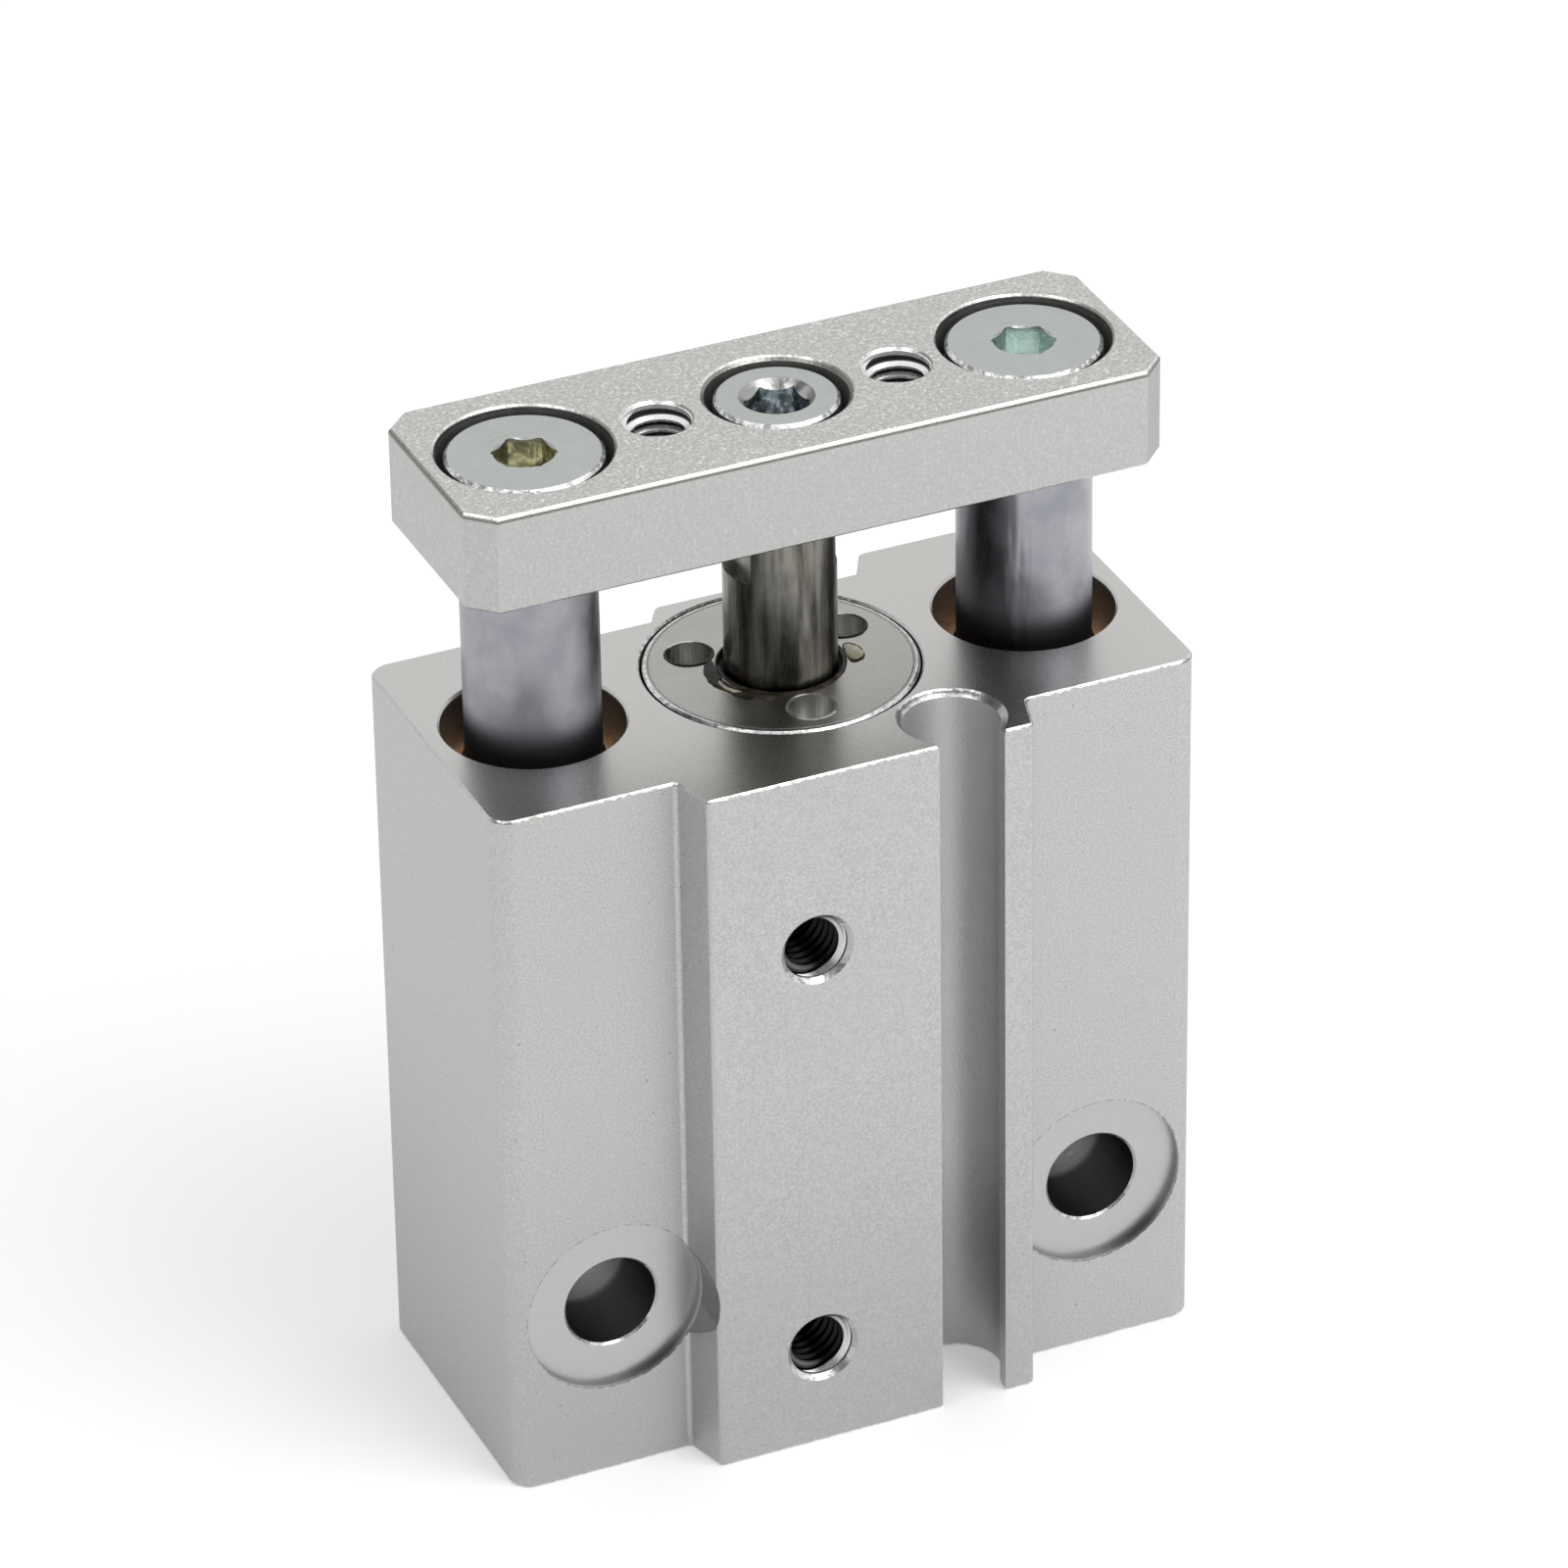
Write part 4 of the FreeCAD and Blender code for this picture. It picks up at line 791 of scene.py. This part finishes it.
# %% Piston rod finish
def stainless_rod():
    """Upright stripes of dried oil over ground steel, painted a little lighter on its right as light.
    """
    f = Finish("stainless_rod", Metallic=1.0)
    streak = f.noise(0.5, 3.0, stretch=(1, 1, 11), seed=1.0)
    smudge = f.noise(1.3, 3.0, seed=8.0)
    fine = f.noise(0.12, 2.0, stretch=(1, 1, 5), seed=3.0)
    # Painted light: the side that faces +X gets more of the light stripes.
    lit = f.both(f.step(f.facing_x, 0.2, 0.7), 0.06)
    stripe = f.step(f.maths("ADD", streak, lit), 0.35, 0.68)
    colour = f.blend(stripe, grey(0.085, 0.14), grey(0.25, 0.1))
    colour = f.blend(f.both(f.step(smudge, 0.4, 0.8), 0.5), colour, grey(0.11, 0.16))
    colour = f.blend(f.both(f.step(fine, 0.5, 0.75), 0.25), colour, grey(0.3, 0.1))
    roughness = f.between(streak, 0.2, 0.36)
    return f.finish(colour, roughness, f.bump(fine, 0.002))


wear("piston_rod", stainless_rod())
print("piston rod finish on")

# %% [markdown]
# ## Screws: zinc plated
#
# Zinc plating is pale and slightly green, and in a socket it pools: one screw shows yellow
# there, another green, and the middle one blue-white. The bright and dark patches in the
# sockets and the small glints between them are painted light and shade: a socket right of
# the axis is painted lighter, walls that face left darker, and the mouth of the middle one
# lighter on its left. The plating is also rough on the bevel of a head, where the light breaks
# into beads, and these beads of light are painted in as well. The two outer screws are one
# piece, so each could not have a material of its own. Depth below the head and the place
# along x choose the colour instead.

# %% Screw finish
SOCKET_REACH = 1.7
SOCKET_TOP, SOCKET_FULL = 0.1, 0.25
TINT_FADE = 2.0


def zinc_screw(name, left, right, deep):
    """Plating with one tint for sockets left of the axis, one for the right; deep is their grey,
    painted lighter right of the axis and darker on walls that face left, as painted light and shade.
    """
    f = Finish(name, Metallic=1.0)
    down = f.maths("SUBTRACT", span("guide_rod_screws", Z)[1], f.z)
    inside = f.either(f.hole(SOCKET_REACH, across=guide_place, y=0), f.hole(SOCKET_REACH, x=0, y=0))
    bevel = f.bevel()
    outer = f.maths("SUBTRACT", bevel, f.both(bevel, inside))
    grain = f.noise(0.12, 3.0)
    beads = f.noise(0.3, 3.0, seed=9.0)
    cloud = f.noise(1.1, 3.0, seed=2.0)
    flash = f.noise(0.5, 2.0, stretch=(1, 1, 2), seed=14.0)
    colour = f.blend(cloud, (0.40, 0.425, 0.405, 1), (0.47, 0.49, 0.475, 1))
    colour = f.blend(f.both(f.step(grain, 0.4, 0.8), 0.2), colour, grey(0.62))
    socket = f.both(inside, f.step(down, SOCKET_TOP, SOCKET_FULL))
    # Painted light and shade: bright patches over a grey that is lighter in sockets right of the axis.
    patch = f.step(flash, 0.44, 0.56)
    side = f.step(f.x, -TINT_FADE, TINT_FADE)
    shade = f.blend(patch, f.blend(side, grey(deep * 0.75), grey(deep * 1.8)), grey(0.95))
    # Painted shade on socket walls that face left.
    shade = f.blend(f.both(f.step(f.facing_x, -0.3, -0.5), 0.6), shade, grey(deep * 0.5))
    # Painted glints in the sockets.
    shade = f.blend(f.both(f.step(beads, 0.55, 0.68), 0.7), shade, grey(1.0))
    pool = f.blend(side, left, right)
    tint = f.add("ShaderNodeMix", {0: 1.0, 6: pool, 7: shade}, data_type="RGBA",
                 blend_type="MULTIPLY")
    colour = f.blend(socket, colour, tint.outputs[2])
    # Painted glints on the bevel of a head, over its bumps.
    glint = f.blend(f.step(beads, 0.4, 0.6), grey(0.33), grey(0.85))
    colour = f.blend(f.both(outer, 0.9), colour, glint)
    # Painted light and shade: right of the middle, the mouth takes the socket's grey in patches.
    patchy = f.both(f.step(flash, 0.56, 0.46), f.step(f.x, -0.2, 0.4))
    mouth = f.blend(patchy, grey(0.36), grey(deep))
    colour = f.blend(f.both(bevel, inside), colour, mouth)
    roughness = f.between(socket, f.between(grain, 0.26, 0.42), 0.18)
    height = f.maths("ADD", grain, f.both(f.both(beads, outer), 5.0))
    height = f.maths("ADD", height, f.both(f.both(flash, inside), 2.0))
    return f.finish(colour, roughness, f.bump(height, 0.008))


wear("guide_rod_screws", zinc_screw("zinc_plated", (1.0, 0.98, 0.8, 1), (0.9, 1.0, 0.97, 1), 0.5))
wear("piston_rod_screw", zinc_screw("bright_plated", (0.9, 0.97, 1.0, 1), (0.9, 0.97, 1.0, 1), 0.2))
print("screw finishes on")

# %% [markdown]
# ## Inner pieces
#
# Seals, bumpers, bushes, the ring that holds the head cover, and the piston are seen only
# through the bores, from below, or when the part is taken apart. Each still gets its own
# stuff: a base of two colours, a grain, lighter edges and a roughness of its own. They differ
# in numbers only, so one function makes them all.

# %% Inner pieces
def plain_finish(name, dark, light, grain_size, roughness, depth, metallic):
    """Clouds of two colours, lighter edges, and a grain of this size that is depth mm deep."""
    f = Finish(name, Metallic=metallic)
    grain = f.noise(grain_size, 3.0)
    cloud = f.noise(grain_size * 9, 3.0, seed=5.0)
    colour = f.blend(cloud, dark, light)
    # Lighter along edges: partly wear, partly a painted highlight.
    colour = f.blend(f.both(f.edges(0.1), 0.4), colour, tuple(min(1, 1.5 * c) for c in light))
    rough = f.between(grain, roughness - 0.08, roughness + 0.08)
    return f.finish(colour, rough, f.bump(grain, depth))


nitrile = plain_finish("nitrile_rubber", grey(0.012), grey(0.028), 0.1, 0.5, 0.004, 0.0)
urethane = plain_finish("urethane", (0.42, 0.3, 0.12, 1), (0.5, 0.36, 0.16, 1), 0.2, 0.4, 0.003, 0.0)
bronze = plain_finish("sintered_bronze", (0.42, 0.24, 0.13, 1), (0.8, 0.5, 0.3, 1), 0.08,
                      0.35, 0.01, 1.0)
spring = plain_finish("spring_steel", grey(0.05), grey(0.12), 0.12, 0.35, 0.004, 1.0)
piston_metal = plain_finish("turned_piston", grey(0.5), grey(0.62), 0.1, 0.3, 0.004, 1.0)
magnet = plain_finish("magnet", grey(0.04), grey(0.07), 0.1, 0.5, 0.006, 0.0)
for node in ("rod_seal", "rod_cover_gasket", "head_cover_gasket", "piston_seal", "piston_gasket"):
    wear(node, nitrile)
for node in ("left_bush", "right_bush"):
    wear(node, bronze)
for node in ("rod_bumper", "head_bumper"):
    wear(node, urethane)
for node in ("piston_front", "piston_rear"):
    wear(node, piston_metal)
wear("retaining_ring", spring)
wear("magnet", magnet)
print("inner pieces finished")

# %% [markdown]
# ## Screw threads
#
# Four holes are threaded: the two ports and the two holes in the plate. Rings round the wall
# would be easy but wrong, and a screw shape cut out of the block needs a clean solid. A
# thread inside a hole is really one ridge that winds along its wall. So it is a section swept
# along a helix, which Geometry Nodes do well: the helix, its section and its ends all follow
# from the thread's size and pitch, and one tree serves every hole.
#
# Every tree here begins and ends in the same way, so that comes first: named inputs, and at
# the end a copy on each point, made real and given its material.

# %% Start and end of a tree
def start_tree(name, points, sizes, turns=()):
    """A tree with inputs for its points, sizes and turns; returns it, its inputs and maths."""
    tree = bpy.data.node_groups.new(name, "GeometryNodeTree")
    kinds = [(points, "NodeSocketGeometry")]
    kinds += [(size, "NodeSocketFloat") for size in sizes]
    kinds += [(turn, "NodeSocketRotation") for turn in turns]
    for socket, kind in kinds:
        tree.interface.new_socket(socket, in_out="INPUT", socket_type=kind)
    tree.interface.new_socket("Result", in_out="OUTPUT", socket_type="NodeSocketGeometry")
    return tree, add_node(tree, "NodeGroupInput").outputs, maths_for(tree)


def end_tree(tree, material, copies):
    """Puts an instance on each point, makes the copies real and gives them their material."""
    placed = add_node(tree, "GeometryNodeInstanceOnPoints", copies)
    real = add_node(tree, "GeometryNodeRealizeInstances", {0: placed.outputs[0]})
    dressed = add_node(tree, "GeometryNodeSetMaterial", {0: real.outputs[0], "Material": material})
    add_node(tree, "NodeGroupOutput", {0: dressed.outputs[0]})
    return tree


# %% Thread tree
TURN_STEPS = 48
RUN_OUT = 0.15
RIDGE_FOOT, RIDGE_CREST = 0.45, 0.1
RIDGE_SUNK = 0.08


def thread_tree(material):
    """A ridge wound inwards from the wall of each hole; the holes are the points of the mesh."""
    tree, given, maths = start_tree(
        "thread_ridges", "Holes", ("Wall Radius", "Crest Radius", "Pitch", "Start", "Length"),
        ("Hole Turn",))
    turns = maths("DIVIDE", given["Length"], given["Pitch"])
    helix = add_node(tree, "GeometryNodeCurveSpiral",
                     {"Resolution": TURN_STEPS, "Rotations": turns, "Height": given["Length"],
                      "Start Radius": given["Wall Radius"], "End Radius": given["Wall Radius"]})
    upright = add_node(tree, "GeometryNodeSetCurveNormal", {0: helix.outputs[0]}, mode="Z_UP")
    along = add_node(tree, "GeometryNodeSplineParameter").outputs["Factor"]
    near_end = maths("MINIMUM", along, maths("SUBTRACT", 1.0, along))
    run_out = maths("DIVIDE", maths("MULTIPLY", given["Pitch"], RUN_OUT), given["Length"])
    swell = add_node(tree, "ShaderNodeMapRange", {"Value": near_end, "From Max": run_out}).outputs[0]
    deep = maths("SUBTRACT", given["Wall Radius"], given["Crest Radius"])
    sunk = maths("MULTIPLY", deep, -RIDGE_SUNK)
    foot = maths("MULTIPLY", given["Pitch"], RIDGE_FOOT)
    crest = maths("MULTIPLY", given["Pitch"], RIDGE_CREST)
    section = add_node(tree, "GeometryNodeCurvePrimitiveQuadrilateral", mode="POINTS")
    corners = ((1, foot, sunk), (1, crest, deep), (-1, crest, deep), (-1, foot, sunk))
    for number, (side, half_width, inward) in enumerate(corners, start=1):
        corner = add_node(tree, "ShaderNodeCombineXYZ",
                          {"X": inward, "Y": maths("MULTIPLY", half_width, side)})
        tree.links.new(corner.outputs[0], section.inputs[f"Point {number}"])
    ridge = add_node(tree, "GeometryNodeCurveToMesh",
                     {"Curve": upright.outputs[0], "Profile Curve": section.outputs[0],
                      "Scale": swell, "Fill Caps": True})
    start = add_node(tree, "ShaderNodeCombineXYZ", {"Z": given["Start"]})
    moved = add_node(tree, "GeometryNodeTransform",
                     {"Geometry": ridge.outputs[0], "Translation": start.outputs[0]})
    return end_tree(tree, material, {"Points": given["Holes"], "Instance": moved.outputs[0],
                                     "Rotation": given["Hole Turn"]})


# %% [markdown]
# ### From a tree to a plain mesh
#
# A tree is a recipe that runs again whenever something changes, but a finished piece should
# be a plain mesh. So the tree is run once, its result is kept, and the modifier is taken
# off. The corners are printed, so that a piece that came out empty or in the wrong place is
# noticed.

# %% From a tree to a plain mesh
SMOOTH_BELOW = 30


def run_tree(name, points, tree, values):
    """Evaluates a tree on a mesh of points and returns the result as a plain mesh object."""
    mesh = bpy.data.meshes.new(name)
    mesh.from_pydata(points, [], [])
    piece = bpy.data.objects.new(name, mesh)
    bpy.context.scene.collection.objects.link(piece)
    modifier = piece.modifiers.new("tree", "NODES")
    modifier.node_group = tree
    for item in tree.interface.items_tree:
        if item.item_type == "SOCKET" and item.name in values:
            modifier[item.identifier] = values[item.name]
    evaluated = piece.evaluated_get(bpy.context.evaluated_depsgraph_get())
    made = bpy.data.meshes.new_from_object(evaluated)
    piece.modifiers.remove(modifier)
    piece.data = made
    made.name = name
    made.shade_smooth()
    made.set_sharp_from_angle(angle=math.radians(SMOOTH_BELOW))
    low = [min(v.co[i] for v in made.vertices) / MM for i in range(3)]
    high = [max(v.co[i] for v in made.vertices) / MM for i in range(3)]
    print(name, len(made.polygons), "faces", [round(v, 2) for v in low], [round(v, 2) for v in high])
    return piece


# %% [markdown]
# ### Threads in their holes
#
# The two ports and the two plate holes are M3, so their pitch is half a millimetre. The
# crests are bare cut metal, while the roots are painted dark, as shade and oil, and deep in
# a port the crests too, as painted shade. Two materials would need the faces sorted. One is
# enough when it measures the distance from the hole's axis to tell crest and root apart. The
# length of a thread is trimmed so that its end at the mouth lies on the side that is hard to
# see.

# %% Threads
THREAD_PITCH = 0.5 * MM
THREAD_DEPTH = 0.27 * MM
PORT_CHAMFER, PORT_THREAD_ENDS = 0.195 * MM, 125
TAP_CHAMFER, TAP_THREAD_ENDS = 0.1 * MM, 252
HALF_RIDGE = RIDGE_FOOT * THREAD_PITCH
PORT_SHADE, TAP_SHADE = 0.4, 0.3


def cut_thread(name, radius, axes, below, shine, root_width, dark_from=None):
    """Bare metal with grey level shine at its brightest and roots painted dark, as shade and oil, where
    below is 1.

    A root is root_width mm wide. Past dark_from, measured along y, the crests are painted dark too, as
    shade.
    """
    f = Finish(name, Metallic=1.0)
    grain = f.noise(0.08, 2.0)
    colour = f.blend(grain, grey(shine * 0.7), grey(shine))
    out = None
    for axis in axes:
        here = f.away(**axis)
        out = here if out is None else f.maths("MINIMUM", out, here)
    root = f.step(out, radius - root_width, radius - root_width * 0.35)
    root = f.both(root, below(f))
    # Painted shade: the roots are coloured dark, and deep in a port the crests too.
    colour = f.blend(f.both(root, 0.93), colour, grey(0.03))
    if dark_from is not None:
        colour = f.blend(f.step(f.y, dark_from, dark_from + 0.6), colour, grey(0.015))
    return f.finish(colour, f.between(grain, 0.18, 0.32), f.bump(grain, 0.004))


def thread_length(room, ends_at):
    """The longest thread in this room that ends at this angle round the hole, on its hidden side."""
    whole = math.floor(room / THREAD_PITCH - ends_at / 360)
    return (whole + ends_at / 360) * THREAD_PITCH


def add_threads(name, body, finish, points, mount, radius, end, length):
    """Winds a ridge in each hole, ending at this height on the mount's axis, as one piece."""
    turn = Vector((0, 0, 1)).rotation_difference(Vector(mount["axis"])).to_euler()
    piece = run_tree(name, points, thread_tree(finish), {
        "Wall Radius": radius, "Crest Radius": radius - THREAD_DEPTH, "Pitch": THREAD_PITCH,
        "Start": end - length, "Length": length, "Hole Turn": turn})
    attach(piece, body)


ports = [mounts["upper_port"], mounts["lower_port"]]
port_axes = [{"x": PORT_X, "z": height} for height in PORT_HEIGHTS]
port_finish = cut_thread("port_thread", PORT_RADIUS, port_axes,
                         lambda f: f.step(f.y, FRONT + PORT_SHADE, FRONT + PORT_SHADE + 0.1),
                         0.72, 0.17, FRONT + 0.35)
port_end = abs(ports[0]["pos_m"][Y] - FRONT * MM) - PORT_CHAMFER - HALF_RIDGE
add_threads("port_threads", "housing", port_finish,
            [port["pos_m"] for port in ports], ports[0], PORT_RADIUS * MM, port_end,
            thread_length(ports[0]["dims"]["length_mm"] * MM - 2 * HALF_RIDGE, PORT_THREAD_ENDS))
tap = mounts["plate_threads"]
tap_points = [Vector(tap["pos_m"]) + Vector((side * TAP_X * MM, 0, 0)) for side in (-1, 1)]
tap_finish = cut_thread("plate_thread", TAP_RADIUS, [{"across": TAP_X, "y": 0}],
                        lambda f: f.step(f.z, plate_top - TAP_SHADE, plate_top - TAP_SHADE - 0.1),
                        0.98, 0.08)
add_threads("plate_threads", "slider", tap_finish, tap_points, tap,
            TAP_RADIUS * MM, -TAP_CHAMFER - HALF_RIDGE,
            thread_length((plate_top - plate_low) * MM - 2 * HALF_RIDGE - TAP_CHAMFER,
                          TAP_THREAD_ENDS))

# %% [markdown]
# ## Grease round the rod
#
# A little grease has been pushed out of the rod's seal and lies on the cover in beads that
# follow the rod's foot. Old grease has also gathered in the mouths of the spanner holes. Each
# bead could be modelled by hand, but they all do the same thing with other sizes: a flat oval
# is swept along an arc, its ends taper, and noise thickens, thins and wanders it. So one tree
# makes them all, and its inputs tell them apart.

# %% Grease tree
ARC_STEPS = 96
OVAL_SIDES = 14
LUMPS_PER_METRE = 1100.0
TAPER_POWER = 0.45


def grease_tree(material):
    """A bead along one arc round each point of the mesh."""
    tree, given, maths = start_tree(
        "grease_bead", "Centres",
        ("Radius", "Start Angle", "Sweep", "Width", "Height", "Wander", "Seed"))
    arc = add_node(tree, "GeometryNodeCurveArc",
                   {"Resolution": ARC_STEPS, "Radius": given["Radius"],
                    "Start Angle": given["Start Angle"], "Sweep Angle": given["Sweep"]})
    along = add_node(tree, "GeometryNodeSplineParameter").outputs["Factor"]
    end = maths("MULTIPLY", maths("MULTIPLY", along, maths("SUBTRACT", 1.0, along)), 4.0)
    taper = maths("POWER", end, TAPER_POWER)
    place = add_node(tree, "GeometryNodeInputPosition").outputs[0]
    rough = add_node(tree, "ShaderNodeTexNoise",
                     {"Vector": place, "W": given["Seed"], "Scale": LUMPS_PER_METRE, "Detail": 3.0},
                     noise_dimensions="4D").outputs[0]
    swell = maths("MULTIPLY", taper, maths("ADD", 0.25, maths("MULTIPLY", rough, 1.5)))
    drift = maths("MULTIPLY", maths("MULTIPLY", rough, given["Wander"]), end)
    outward = add_node(tree, "ShaderNodeVectorMath", {0: place}, operation="NORMALIZE").outputs[0]
    push = add_node(tree, "ShaderNodeVectorMath", {0: outward, "Scale": drift}, operation="SCALE")
    wandered = add_node(tree, "GeometryNodeSetPosition",
                        {"Geometry": arc.outputs[0], "Offset": push.outputs[0]})
    level = add_node(tree, "GeometryNodeSetCurveNormal", {0: wandered.outputs[0]}, mode="Z_UP")
    circle = add_node(tree, "GeometryNodeCurvePrimitiveCircle",
                      {"Resolution": OVAL_SIDES, "Radius": 1.0})
    flat = add_node(tree, "ShaderNodeCombineXYZ", {"X": given["Width"], "Y": given["Height"], "Z": 1.0})
    section = add_node(tree, "GeometryNodeTransform",
                       {"Geometry": circle.outputs[0], "Scale": flat.outputs[0]})
    bead = add_node(tree, "GeometryNodeCurveToMesh",
                    {"Curve": level.outputs[0], "Profile Curve": section.outputs[0],
                     "Scale": swell, "Fill Caps": True})
    return end_tree(tree, material, {"Points": given["Centres"], "Instance": bead.outputs[0]})


# %% [markdown]
# ### Seven pieces of grease and painted highlight
#
# On the real cover old grease is nearly black: a thin line round the front of the rod's foot,
# a wedge at its left with a light brown tip that is a painted highlight, a flat smear at its
# right with a pale drop on it, pale partly as a painted highlight, and rings in the mouths of
# the spanner holes, the front one paler than the others, a painted highlight of its bright rim.
# Grease is no metal: it is dull with a soft gloss. Letting light sink into it would hardly
# show on beads this thin, so a thin coat over a cloudy colour is enough.

# %% Grease
def grease_finish(name, dark, light, gloss):
    """A cloudy colour between two, under a soft coat."""
    f = Finish(name, Metallic=0.0, Specular_IOR_Level=gloss, Coat_Weight=gloss / 2, Coat_Roughness=0.1)
    cloud = f.noise(0.8, 2.0)
    colour = f.blend(f.step(cloud, 0.42, 0.7), dark, light)
    return f.finish(colour, f.between(cloud, 0.25, 0.45), f.bump(f.noise(0.4, 1.0, seed=6.0), 0.008))


cover_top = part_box("rod_cover")[1][Z]
old = grease_finish("old_grease", (0.014, 0.012, 0.009, 1), (0.07, 0.055, 0.04, 1), 0.1)
# Painted highlight: the light brown of the wedge's tip.
brown = grease_finish("brown_grease_highlight", (0.24, 0.2, 0.15, 1), (0.62, 0.55, 0.44, 1), 0.5)
# Pale grease, partly a painted highlight, for the drop.
pale_sheen = grease_finish("pale_grease_sheen", (0.38, 0.36, 0.24, 1), (0.75, 0.72, 0.56, 1), 0.5)
# Painted highlight: the pale bright rim of the front spanner hole.
clear = grease_finish("clear_grease_glint", (0.1, 0.1, 0.095, 1), (0.62, 0.62, 0.6, 1), 0.6)
rod_foot = [(0, 0, cover_top)]
spanner_holes = [(x * MM, y * MM, cover_top) for x, y in spanner_places]
# Each row is a name, a grease and its centres; the radius of the arc in mm, where it starts and
# how far it sweeps in degrees from +X; its half width, half height and wander in mm; a seed.
beads = (("grease_line", old, rod_foot, 2.74, 160, 200, 0.15, 0.07, 0.12, 3.0),
         ("grease_wedge", old, rod_foot, 3.06, 152, 92, 0.38, 0.07, 0.4, 5.0),
         ("grease_tip", brown, rod_foot, 3.1, 186, 30, 0.13, 0.12, 0.45, 9.0),
         ("grease_smear", old, rod_foot, 3.14, 333, 32, 0.42, 0.05, 0.3, 12.0),
         ("grease_drop", pale_sheen, rod_foot, 3.12, 338, 25, 0.36, 0.14, 0.3, 8.0),
         ("grease_rings", old, spanner_holes[:2], 1.03, 120, 300, 0.08, 0.05, 0.08, 15.0),
         ("front_rim_glint", clear, spanner_holes[2:], 1.05, 60, 330, 0.06, 0.05, 0.12, 19.0))
for name, finish, centres, radius, start, sweep, width, height, wander, seed in beads:
    piece = run_tree(name, centres, grease_tree(finish), {
        "Radius": radius * MM, "Start Angle": math.radians(start), "Sweep": math.radians(sweep),
        "Width": width * MM, "Height": height * MM, "Wander": wander * MM, "Seed": seed})
    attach(piece, "housing")

# %% [markdown]
# ## Bring the scene up to date
#
# Last of all, the view layer is updated once more.

# %% Bring the scene up to date
bpy.context.view_layer.update()
